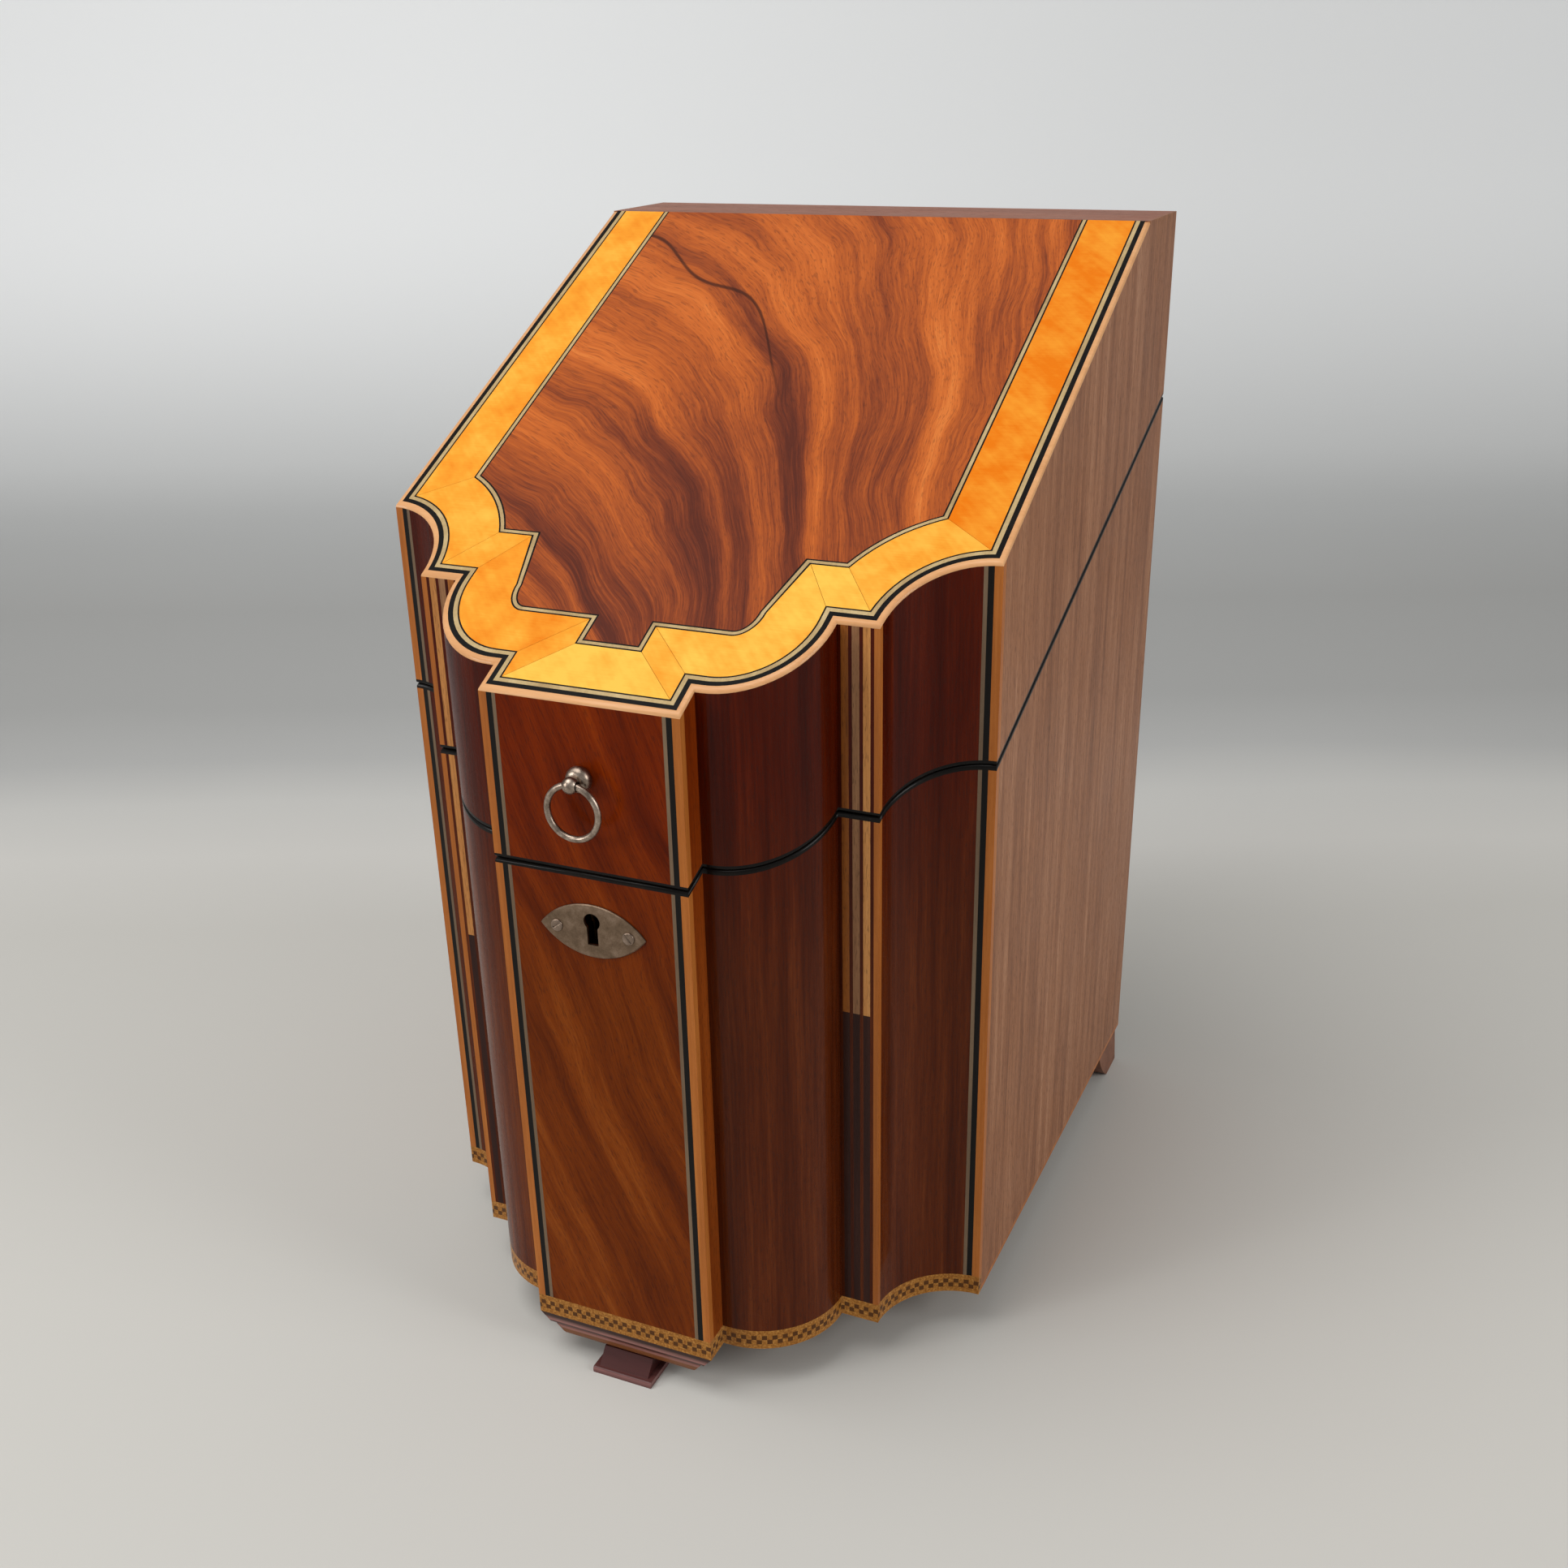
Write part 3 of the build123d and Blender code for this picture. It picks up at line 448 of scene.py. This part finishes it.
def flameVeneer():
    shade = Finish("flameVeneer")
    u = shade.along((1, 0, 0))
    v = shade.along(slopeUp) - milli * Vector((0, place["front"], place["lidHeight"])).dot(slopeUp)
    pushed = u + shade.layer(field["largeWave"], u, v, 1.7)
    fountain = shade.maths("EXPONENT", pushed / field["spread"])
    smallPush = shade.layer(field["smallWave"], u, v, 4.1, detail=1.0)
    flow = shade.maths("LOGARITHM", v + field["start"] + fountain * field["rise"] + smallPush, math.e)
    across = flow * field["flow"]
    streaks = shade.layer(field["streaks"], across, v, 0.3)
    ribbons = shade.layer(field["ribbons"], across, v, 7.7, roughness=0.6)
    fibres = shade.layer(field["fibres"], across, v, u / field["fibreDrift"], detail=3.0, roughness=0.7)
    width, length, drift = field["poreSize"]
    pores = shade.noise((across / width, v / length, u / drift), detail=1.0)
    pores = shade.between(pores, *field["poreEdge"])

    front, back, middle, crack = (field[key] for key in ("front", "back", "middle", "crack"))
    near = 1 - shade.between(v + u * front["lean"], *front["span"])
    tone = streaks + ribbons + fibres + 0.5 - near * front["dark"]
    tone = tone + shade.between(v - u * back["lean"], *back["span"]) * back["light"]
    beside, above = shade.maths("ABSOLUTE", u - middle["u"]), shade.maths("ABSOLUTE", v - middle["v"])
    away = beside + above * middle["squash"]
    tone = tone - (1 - shade.between(away, *middle["span"])) * middle["dark"]
    colour = shade.ramp(tone, field["colours"])
    colour = shade.blend(pores * field["pores"], colour, paint(field["poreColour"]))

    turns = (u + crack["waveFrom"]) * (2 * math.pi / crack["waveLength"])
    wave = shade.maths("COSINE", turns) * crack["wave"]
    plainFountain = shade.maths("EXPONENT", u / field["spread"]) * field["rise"]
    offLine = shade.maths("ABSOLUTE", v + field["start"] + plainFountain - wave - crack["line"])
    split = (1 - shade.between(offLine, *crack["width"])) * shade.between(v, *crack["span"])
    colour = shade.blend(split * crack["share"], colour, paint(crack["colour"]))
    return polished(shade, colour, pores, **field["finish"])


# satinwood, in eleven mitred lengths, each with its own tone; mottle, ribbon and fibres are sizes in
# millimetres across and up the slope, then how strongly each shows
satin = {
    "colours": ((224, 116, 10), (234, 154, 46), (240, 188, 76)),
    "mottle": (16, 20, 1.2),
    "ribbon": (3.4, 22, 0.45),
    "fibres": (9, 0.6, 0.3),
    "fibreRough": 0.1,
    "finish": {"roughness": 0.32, "specular": 0.05, "polish": 0.06, "smear": 0.1},
}


def satinwood():
    shade = Finish("satinwood")
    x, y = shade.along((1, 0, 0)), shade.along(slopeUp)
    tone = shade.node("ShaderNodeAttribute", {"attribute_name": "tone"}, output="Fac")
    mottle = shade.layer(satin["mottle"], x, y, 2.0, detail=3.0, roughness=0.6)
    ribbon = shade.layer(satin["ribbon"], x + y, x - y, 5.0)
    width, length, strength = satin["fibres"]
    fibres = shade.noise((x / width, y / length, 3.0), roughness=0.6)
    value = mottle + ribbon + (fibres - 0.5) * strength + tone
    colour = shade.ramp(value, evenly(satin["colours"]))
    return polished(shade, colour, fibres * satin["fibreRough"], **satin["finish"])


# the chequered band round the base, in millimetres: two rows of squares between two plain lines
chequer = {
    "square": 1.9,
    "rows": 2,
    "lineWidth": 2.0,
    "blur": 0.1,
    "light": ((0.3, (124, 72, 24)), (0.5, (152, 100, 40)), (0.75, (196, 140, 70))),
    "dark": (70, 38, 12),
    "wearSize": 0.8,
    "wearDrift": 30,
    "wearRough": 0.2,
    "darkShare": 0.7,  # how much of the dark shows, and how much more of it in the marks of wear
    "darkWear": 0.4,
    "evenShift": 400,  # even, so that it only keeps the count of squares above zero
    "finish": {"roughness": 0.36},
}


def chequerBand():
    shade = Finish("chequerBand")
    onBand = shade.node("ShaderNodeUVMap", {"uv_map": "band"})
    u = shade.node("ShaderNodeSeparateXYZ", None, {"Vector": onBand})
    v = Wire(shade, u.socket.node.outputs["Y"])
    low, blur = chequer["lineWidth"], chequer["blur"]
    row = shade.maths("FLOOR", (v - low) / chequer["square"])
    column = shade.maths("FLOOR", u / chequer["square"])
    dark = shade.maths("MODULO", row + column + chequer["evenShift"], 2.0)
    high = low + chequer["rows"] * chequer["square"]
    inside = shade.between(v, low - blur, low + blur) * (1 - shade.between(v, high - blur, high + blur))
    size = chequer["wearSize"]
    wear = shade.noise((u / size, v / size, u / chequer["wearDrift"]), detail=3.0, roughness=0.6)
    share = inside * dark * (wear * chequer["darkWear"] + chequer["darkShare"])
    colour = shade.blend(share, shade.ramp(wear, chequer["light"]), paint(chequer["dark"]))
    return polished(shade, colour, wear * chequer["wearRough"], **chequer["finish"])


# mouldings whose colour changes with height, with painted highlights on the rolls and the toe and painted
# shade
# between the rolls: each band's height in millimetres and its colour, then the streaks that run along them
paintedLightBands = {
    # the apron: pink bands are painted highlights on its two rolls, the darkest bands painted shade between
    # the rolls and along the top
    "apronWoodAndPaintedLight": (
        (8.0, (112, 66, 34)),
        (10.6, (124, 74, 42)),
        (11.4, (156, 108, 98)),
        (12.4, (120, 76, 68)),
        (13.0, (50, 24, 20)),
        (13.9, (56, 28, 22)),
        (14.7, (156, 108, 100)),
        (16.6, (50, 26, 20)),
    ),
    # the foot: the pink band near the floor is a painted highlight on the toe
    "footWoodAndPaintedLight": ((0.0, (92, 54, 52)), (1.8, (136, 94, 90)), (2.5, (74, 38, 36)), (8.0, (62, 28, 26))),
}
bandStreaks = {
    "top": 20,
    "size": (18, 1.2, 0.9),
    "edge": (0.45, 0.75),
    "share": 0.35,
    "colour": (44, 20, 16),
    "rough": 0.3,
    "finish": {"roughness": 0.34, "polish": 0.3},
}


def woodWithPaintedLight(name, levels):
    shade, look = Finish(name), bandStreaks
    ways = shade.axes()
    grain = shade.noise([way / size for way, size in zip(ways, look["size"])], detail=3.0, roughness=0.6)
    # colour by height: the bands' painted highlights and shade, then the wood's own streaks
    colour = shade.ramp(ways[2] / look["top"], [(height / look["top"], c) for height, c in levels])
    colour = shade.blend(shade.between(grain, *look["edge"]) * look["share"], colour, paint(look["colour"]))
    return polished(shade, colour, grain * look["rough"], **look["finish"])


# metals, worn brighter in places and dull in others; patches and specks are in millimetres
metals = {
    "ringBrass": {
        "colours": ((92, 80, 70), (150, 134, 120), (200, 184, 168)),
        "patch": 2.5,
        "roughness": 0.34,
    },
    "escutcheonBrass": {
        "colours": ((84, 68, 54), (118, 98, 80), (152, 130, 112)),
        "patch": 5.0,
        "roughness": 0.42,
    },
    "pinBrass": {
        "colours": ((96, 80, 70), (134, 116, 102), (172, 152, 138)),
        "patch": 3.0,
        "roughness": 0.34,
    },
    "lockBrass": {
        "colours": ((132, 100, 54), (176, 138, 78), (206, 172, 108)),
        "patch": 7.0,
        "roughness": 0.38,
    },
    "steel": {
        "colours": ((92, 88, 84), (132, 128, 122), (170, 166, 160)),
        "patch": 4.0,
        "roughness": 0.4,
    },
}
metalWear = {
    "speck": 0.5,
    "span": (0.25, 0.75),
    "tint": (0.8, 0.2),  # how much the patches and the specks count in the colour
    "relief": (0.6, 0.4),  # and in the bump
    "dull": 0.3,
    "bumpDepth": 0.00012,
    "bumpStrength": 0.4,
}


def agedMetal(name, colours, patch, roughness):
    shade = Finish(name)
    ways = shade.axes()
    patches = shade.noise([way / patch for way in ways], detail=4.0, roughness=0.65)
    specks = shade.noise([way / metalWear["speck"] for way in ways])
    tint, relief = (patches * metalWear[key][0] + specks * metalWear[key][1] for key in ("tint", "relief"))
    return shade.surface(
        {
            "Base Color": shade.ramp(tint, evenly(colours, *metalWear["span"])),
            "Metallic": 1.0,
            "Roughness": (patches - 0.5) * metalWear["dull"] + roughness,
            "Normal": shade.bump(relief, metalWear["bumpDepth"], metalWear["bumpStrength"]),
        }
    )


finishes |= {"flameVeneer": flameVeneer(), "satinwood": satinwood(), "chequerBand": chequerBand()}
finishes |= {name: woodWithPaintedLight(name, levels) for name, levels in paintedLightBands.items()}
finishes |= {name: agedMetal(name, **look) for name, look in metals.items()}
print("veneers and metals made:", len(finishes), "finishes in all")

# which nodes wear each finish
halves, hands = ("case", "lid"), ("left", "right")
staves = ("ovolo", "cavetto", "pilaster")
dress = {
    "frontMahogany": [f"{half}_{stave}_{hand}" for half in halves for stave in staves for hand in hands],
    "blockMahogany": ["case_block_veneer", "lid_block_veneer"],
    "returnMahogany": ["case_block", "lid_block"],
    "sideMahogany": [f"{half}_side_veneer_{hand}" for half in halves for hand in hands],
    "landMahogany": ["land_rail"],
    "innerMahogany": [f"{half}_side_{hand}" for half in halves for hand in hands] + ["lid_top_board"],
    "liningMahogany": ["cutlery_board"],
    "carcase": ["bottom_board", "case_back", "board_ledges", "lid_back"],
    "flameVeneer": ["field_veneer"],
    "satinwood": ["crossbanding"],
    "boxwood": ["case_light_strings", "lid_light_strings", "case_flutes", "lid_flutes"],
    "edgeString": ["edge_string"],
    "ebony": ["case_black_strings", "lid_black_strings", "case_rim_string", "lid_rim_string"],
    "stopWood": ["stop_flutes"],
    "chequerBand": ["base_band"],
    "apronWoodAndPaintedLight": ["front_apron"],
    "footWoodAndPaintedLight": ["front_foot"],
    "rearFootWood": ["rear_foot_left", "rear_foot_right"],
    "ringBrass": ["ring_handle", "ring_boss"],
    "escutcheonBrass": ["escutcheon"],
    "pinBrass": ["escutcheon_pins"],
    "lockBrass": ["lock_case", "link_plate", "case_hinge_leaves", "lid_hinge_leaves"],
    "steel": ["lock_bolt", "hinge_pins", "case_screws", "lid_screws"],
}
dressOf = {node: finish for finish, names in dress.items() for node in names}
for node, finish in dressOf.items():
    for holder in nodes[node].material_slots:
        holder.material = finishes[finish]
print("nodes dressed:", len(dressOf), "of", len(nodes))

# how a node's mesh is mended before it is worked on: points closer than this, in metres, are one, and
# faces flatter than this, in degrees, are one; edges sharper than the last, in degrees, stay sharp
mend = {"weld": 0.000004, "flat": 0.4, "sharp": 35}


def copyOf(node):
    # a merged copy of a node's mesh, with its flat faces whole again
    shape = bmesh.new()
    shape.from_mesh(nodes[node].data)
    bmesh.ops.remove_doubles(shape, verts=shape.verts, dist=mend["weld"])
    flat = math.radians(mend["flat"])
    bmesh.ops.dissolve_limit(shape, angle_limit=flat, verts=shape.verts, edges=shape.edges)
    return shape


def looseParts(shape):
    # the faces of each solid of a copy
    left = set(shape.faces)
    parts = []
    while left:
        found = [left.pop()]
        for face in found:
            touching = {other for edge in face.edges for other in edge.link_faces} & left
            left -= touching
            found += touching
        parts.append(found)
    return parts


def middleOf(faces):
    # the middle of the faces' box, and its size
    spots = [vert.co for vert in {vert for face in faces for vert in face.verts}]
    low = Vector(min(spot[i] for spot in spots) for i in range(3))
    high = Vector(max(spot[i] for spot in spots) for i in range(3))
    return (low + high) / 2, high - low


def only(items, kind):
    return [item for item in items if isinstance(item, kind)]


def roundOff(shape, edges, radius, steps, clamp):
    bmesh.ops.bevel(
        shape,
        geom=edges,
        offset=radius,
        offset_type="OFFSET",
        segments=steps,
        profile=0.5,
        affect="EDGES",
        material=-1,
        clamp_overlap=clamp,
    )


def asPiece(shape, name, *coats, stands):
    # a shape as a piece of its own that stands for a node
    mesh = bpy.data.meshes.new(name)
    for face in shape.faces:
        face.smooth = True
    shape.to_mesh(mesh)
    shape.free()
    mesh.set_sharp_from_angle(angle=math.radians(mend["sharp"]))
    for coat in coats:
        mesh.materials.append(finishes[coat])
    piece = bpy.data.objects.new(name, mesh)
    bpy.context.scene.collection.objects.link(piece)
    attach(piece, bodyOf[stands])
    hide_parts(stands)


# the satinwood lengths' tones, from the block's front to the back; the front length is the one in the
# middle, to within a few millimetres
tones = {
    "front": (0.95,),
    "left": (0.5, 0.4, 0.6, 0.55, 0.5),
    "right": (0.7, 0.8, 0.9, 0.66, 0.16),
    "middle": 0.005,
}


def tonedBanding():
    shape = copyOf("crossbanding")
    toneLayer = shape.verts.layers.float.new("tone")
    parts = [(middleOf(faces)[0], faces) for faces in looseParts(shape)]
    lengths = sorted(parts, key=lambda part: part[0].y)
    left = {side: list(tones[side]) for side in ("front", "left", "right")}
    for middle, faces in lengths:
        side = "front" if abs(middle.x) < tones["middle"] else "left" if middle.x < 0 else "right"
        tone = left[side].pop(0)
        for face in faces:
            for vert in face.verts:
                vert[toneLayer] = tone
    asPiece(shape, "satinwoodBanding", "satinwood", stands="crossbanding")
    print("banding toned:", len(lengths), "lengths")


tonedBanding()

# the strings are split by what they are, in metres: thin ones beside the black stand at two distances
# from the middle, lines on the slope are wide from side to side, and the rest are corner strings
strings = {"thinAt": (0.03005, 0.10705), "thinWithin": 0.0006, "slopeWidth": 0.08}
for half in halves:
    shape = copyOf(f"{half}_light_strings")
    for faces in looseParts(shape):
        middle, size = middleOf(faces)
        thin = min(abs(abs(middle.x) - x) for x in strings["thinAt"]) < strings["thinWithin"]
        onSlope = size.x > strings["slopeWidth"]
        for face in faces:
            face.material_index = 1 if thin else 2 if onSlope else 0
    coats = ("boxwood", "greyString", "slopeString")
    asPiece(shape, f"{half}Strings", *coats, stands=f"{half}_light_strings")

# the three flutes of each pilaster are of three woods; distances from the middle in metres
flutes = {"first": 0.07145, "pitch": 0.0037}
for half in halves:
    shape = copyOf(f"{half}_flutes")
    for faces in looseParts(shape):
        middle = middleOf(faces)[0]
        for face in faces:
            face.material_index = round((abs(middle.x) - flutes["first"]) / flutes["pitch"])
    coats = ("brownFlute", "pinkFlute", "paleFlute")
    asPiece(shape, f"{half}Flutes", *coats, stands=f"{half}_flutes")
print("strings and flutes split by wood")

# how closely an edge has to match: the cosine between two directions, how upright a face is, where the
# middle of the box lies from front to back and how far back the front goes, in metres
edgeTest = {"cosine": 0.99, "upright": 0.01, "middleY": 0.05, "frontDepth": 0.003}


def outerEdge(up):
    # edges between a face that looks along a direction and one on the box's outside
    def chosen(edge):
        first, second = (face.normal for face in edge.link_faces)
        if abs(second.z) > abs(first.z):
            first, second = second, first
        middle = (edge.verts[0].co + edge.verts[1].co) / 2
        outside = second.x * middle.x + second.y * (middle.y - edgeTest["middleY"]) > 0
        return first.dot(up) > edgeTest["cosine"] and abs(second.z) < edgeTest["upright"] and outside

    return chosen


def frontEdge(low, high):
    # edges that run from side to side between two heights, on the front of a piece
    def chosen(edge):
        run = edge.verts[1].co - edge.verts[0].co
        spot = (edge.verts[0].co + edge.verts[1].co) / 2
        onFront = spot.y < place["front"] + edgeTest["frontDepth"]
        return abs(run.normalized().x) > edgeTest["cosine"] and low < spot.z < high and onFront

    return chosen


# the rounded outer edges of the lid's light string and of the black strings at the joint, and the worn
# corners of the apron's two mouldings and of the foot's toe; radii and heights in metres
worn = {
    "lidEdgeBead": ("edge_string", "edgeString", {"radius": 0.00092, "steps": 3}, outerEdge(slopeOut)),
    "lidJointBead": ("lid_rim_string", "ebony", {"radius": 0.0007, "steps": 3}, outerEdge(-jointOut)),
    "caseJointBead": ("case_rim_string", "ebony", {"radius": 0.0007, "steps": 3}, outerEdge(jointOut)),
    "apronMoulding": ("front_apron", "apronWoodAndPaintedLight", {"radius": 0.0011, "steps": 4}, frontEdge(0.007, 0.0135)),
    "frontFoot": ("front_foot", "footWoodAndPaintedLight", {"radius": 0.0009, "steps": 4}, frontEdge(0.002, 0.003)),
}
for name, (node, coat, look, chosen) in worn.items():
    shape = copyOf(node)
    edges = [edge for edge in shape.edges if len(edge.link_faces) == 2 and chosen(edge)]
    roundOff(shape, edges, look["radius"], look["steps"], True)
    asPiece(shape, name, coat, stands=node)
print("edges rounded:", len(worn), "pieces")

# domed heads with a worn slot for the escutcheon's pins, in metres; the slots' turns are in degrees,
# left pin first
pins = {
    "dome": 0.0004,
    "steps": 4,
    "slotWidth": 0.0005,
    "slotDepth": 0.00025,
    "turns": (35, -50),
    "faceWithin": 0.00001,
}


def pinHeads():
    shape = copyOf("escutcheon_pins")
    level = min(vert.co.y for vert in shape.verts) + pins["faceWithin"]
    rims = [edge for edge in shape.edges if all(vert.co.y < level for vert in edge.verts)]
    roundOff(shape, rims, pins["dome"], pins["steps"], False)

    def topsOf(side):
        # the flat front of the left pin (-1) or the right one (1)
        spots = [(top, top.calc_center_median()) for top in shape.faces]
        return [top for top, spot in spots if spot.x * side > 0 and spot.y < level]

    halfWidth = pins["slotWidth"] / 2
    for side, turn in zip((-1, 1), pins["turns"]):
        across = Vector((-math.sin(math.radians(turn)), 0, math.cos(math.radians(turn))))
        middle = middleOf(topsOf(side))[0]
        for edgeOfSlot in (-halfWidth, halfWidth):
            tops = topsOf(side)
            edges = dict.fromkeys(edge for top in tops for edge in top.edges)
            verts = dict.fromkeys(vert for top in tops for vert in top.verts)
            cut = middle + across * edgeOfSlot
            bmesh.ops.bisect_plane(shape, geom=[*tops, *edges, *verts], plane_co=cut, plane_no=across)
        offsets = [(top, (top.calc_center_median() - middle).dot(across)) for top in topsOf(side)]
        slot = [top for top, offset in offsets if abs(offset) < halfWidth]
        sunk = bmesh.ops.extrude_face_region(shape, geom=slot)["geom"]
        bmesh.ops.delete(shape, geom=slot, context="FACES_KEEP_BOUNDARY")
        verts = only(sunk, bmesh.types.BMVert)
        bmesh.ops.translate(shape, verts=verts, vec=(0, pins["slotDepth"], 0))
    bmesh.ops.recalc_face_normals(shape, faces=shape.faces)
    asPiece(shape, "escutcheonPins", "pinBrass", stands="escutcheon_pins")
    print("pins headed")


pinHeads()

# points of the band this close below its top are on its rim, in metres; two points are in one place if
# their x and y agree to this many digits
band = {"rimWithin": 0.0001, "digits": 5, "startDigits": 4}


def mapBand():
    # the base band gets a map that follows it round the front, in millimetres
    shape = copyOf("base_band")
    layer = shape.loops.layers.uv.new("band")
    bottom = min(vert.co.z for vert in shape.verts)
    top = max(vert.co.z for vert in shape.verts)
    rim = [edge for edge in shape.edges if all(vert.co.z > top - band["rimWithin"] for vert in edge.verts)]

    def leftmost(vert):
        return round(vert.co.x, band["startDigits"]), -vert.co.y

    # from the left end, along the rim from point to point
    spot = min({vert for edge in rim for vert in edge.verts}, key=leftmost)
    reach, run, seen = {spot: 0.0}, 0.0, set()
    while True:
        onward = [edge for edge in spot.link_edges if edge in rim and edge not in seen]
        onward = [edge for edge in onward if edge.other_vert(spot) not in reach]
        if not onward:
            break
        edge = min(onward, key=lambda way: way.other_vert(spot).co.y if run == 0 else 0)
        seen.add(edge)
        run += edge.calc_length()
        spot = edge.other_vert(spot)
        reach[spot] = run

    def spotKey(vert):
        return round(vert.co.x, band["digits"]), round(vert.co.y, band["digits"])

    byPlace = {spotKey(vert): far for vert, far in reach.items()}
    for face in shape.faces:
        for loop in face.loops:
            far = byPlace.get(spotKey(loop.vert), 0.0)
            loop[layer].uv = (milli * far, milli * (loop.vert.co.z - bottom))
    print("base band mapped:", round(milli * run), "mm round")
    asPiece(shape, "chequeredBand", "chequerBand", stands="base_band")


mapBand()

# the camera: its place in metres, its turn in degrees, its lens in millimetres on a 36 mm sensor
view = {
    "place": (0.2623, -0.5623, 0.4418),
    "turn": (64.9815, 0.9732, 23.6574),
    "lens": 39.252,
    "sensor": 36,
    "shift": (-0.00864, 0.04337),
    "nearest": 0.01,
}

studio = {
    "sky": 0.4,
    # the floor's half width, front and back end, then the bend's radius and the wall's height, in metres
    "halfWidth": 4,
    "front": -2.5,
    "back": 1.2,
    "radius": 0.9,
    "wall": 2.6,
    "bendSteps": 24,
    "weld": 0.0001,
    # painted shade: how far behind the box, in millimetres, the paper has each colour, darker in a band from
    # 490 to 850
    "reach": 2500,
    "paperWithPaintedLight": (
        (0, (198, 196, 190)),
        (240, (199, 197, 191)),
        (330, (207, 205, 200)),
        (410, (200, 199, 195)),
        (490, (180, 180, 178)),
        (600, (170, 170, 168)),
        (850, (173, 173, 171)),
        (1150, (195, 196, 195)),
        (1400, (206, 207, 206)),
    ),
    "roughness": 0.7,
    "cloudSize": 300,
    "cloud": 0.02,
    # painted light: the paper glows brighter towards the top and less to the right, between these distances
    # in millimetres
    "glow": 0.35,
    "glowFrom": (1050, 2150),
    "glowColour": (0.98, 0.99, 1, 1),
    "glowSide": (-900, 800),
    "glowLoss": 0.35,
    "lamps": (
        # name, place, size, power, what it looks at
        ("overhead", (-0.45, -0.5, 1.7), 1.3, 16, (0, 0, 0.2)),
        ("leftFront", (-1.1, -1.2, 0.7), 0.7, 9, (0, 0, 0.2)),
        ("rightSide", (1.6, -0.2, 0.9), 0.8, 10.5, (0, 0, 0.2)),
    ),
}


def sweep():
    # a floor that turns up into a backdrop
    shape = bmesh.new()
    ends = [shape.verts.new((x, studio["front"], 0)) for x in (-studio["halfWidth"], studio["halfWidth"])]
    edge = shape.edges.new(ends)
    spread = bmesh.ops.extrude_edge_only(shape, edges=[edge])["geom"]
    length = studio["back"] - studio["front"]
    bmesh.ops.translate(shape, verts=only(spread, bmesh.types.BMVert), vec=(0, length, 0))
    turned = bmesh.ops.spin(
        shape,
        geom=only(spread, (bmesh.types.BMVert, bmesh.types.BMEdge)),
        cent=(0, studio["back"], studio["radius"]),
        axis=(1, 0, 0),
        angle=math.radians(90),
        steps=studio["bendSteps"],
    )["geom_last"]
    wall = bmesh.ops.extrude_edge_only(shape, edges=only(turned, bmesh.types.BMEdge))["geom"]
    bmesh.ops.translate(shape, verts=only(wall, bmesh.types.BMVert), vec=(0, 0, studio["wall"]))
    bmesh.ops.remove_doubles(shape, verts=shape.verts, dist=studio["weld"])
    bmesh.ops.recalc_face_normals(shape, faces=shape.faces)
    # the paper hangs square to the camera
    turn = math.radians(view["turn"][2])
    bmesh.ops.rotate(shape, verts=shape.verts, cent=(0, 0, 0), matrix=Matrix.Rotation(turn, 3, "Z"))
    for face in shape.faces:
        face.smooth = True
    mesh = bpy.data.meshes.new("sweep")
    shape.to_mesh(mesh)
    shape.free()
    floor = bpy.data.objects.new("sweep", mesh)
    bpy.context.scene.collection.objects.link(floor)
    mesh.materials.append(paperWithPaintedLight(turn))


def paperWithPaintedLight(turn):
    shade = Finish("paperWithPaintedLight")
    right = shade.along((math.cos(turn), math.sin(turn), 0))
    away = shade.along((-math.sin(turn), math.cos(turn), 0)) + shade.along((0, 0, 1))
    size, reach = studio["cloudSize"], studio["reach"]
    cloud = (shade.noise((right / size, away / size, 0.0)) - 0.5) * studio["cloud"]
    # the colour steps paint shade onto the paper, darkest in a band behind the box
    colour = shade.ramp(away / reach + cloud, [(far / reach, c) for far, c in studio["paperWithPaintedLight"]])
    # painted light: the glow is for the camera only, and lights nothing
    seen = shade.node("ShaderNodeLightPath", output="Is Camera Ray")
    loss = shade.between(right, *studio["glowSide"]) * studio["glowLoss"]
    glow = shade.between(away, *studio["glowFrom"]) * (1 - loss) * studio["glow"]
    return shade.surface(
        {
            "Base Color": colour,
            "Roughness": studio["roughness"],
            "Emission Strength": 1.0,
            "Emission Color": shade.blend(glow * seen, (0, 0, 0, 1), studio["glowColour"]),
        }
    )


def lights():
    for name, spot, size, power, target in studio["lamps"]:
        lamp = bpy.data.lights.new(name, "AREA")
        lamp.shape = "DISK"
        lamp.size = size
        lamp.energy = power
        holder = bpy.data.objects.new(name, lamp)
        holder.location = spot
        holder.rotation_euler = (Vector(target) - Vector(spot)).to_track_quat("-Z", "Y").to_euler()
        bpy.context.scene.collection.objects.link(holder)
    world = bpy.data.worlds.new("studio")
    world.use_nodes = True
    background = world.node_tree.nodes["Background"].inputs
    background["Color"].default_value = (1, 1, 1, 1)
    background["Strength"].default_value = studio["sky"]
    bpy.context.scene.world = world


def camera():
    eye = bpy.data.cameras.new("camera")
    eye.lens = view["lens"]
    eye.sensor_width = view["sensor"]
    eye.shift_x, eye.shift_y = view["shift"]
    eye.clip_start = view["nearest"]
    holder = bpy.data.objects.new("camera", eye)
    holder.location = view["place"]
    holder.rotation_euler = [math.radians(angle) for angle in view["turn"]]
    bpy.context.scene.collection.objects.link(holder)
    bpy.context.scene.camera = holder


sweep()
lights()
camera()
bpy.context.scene.view_settings.view_transform = "Standard"
print("studio set")
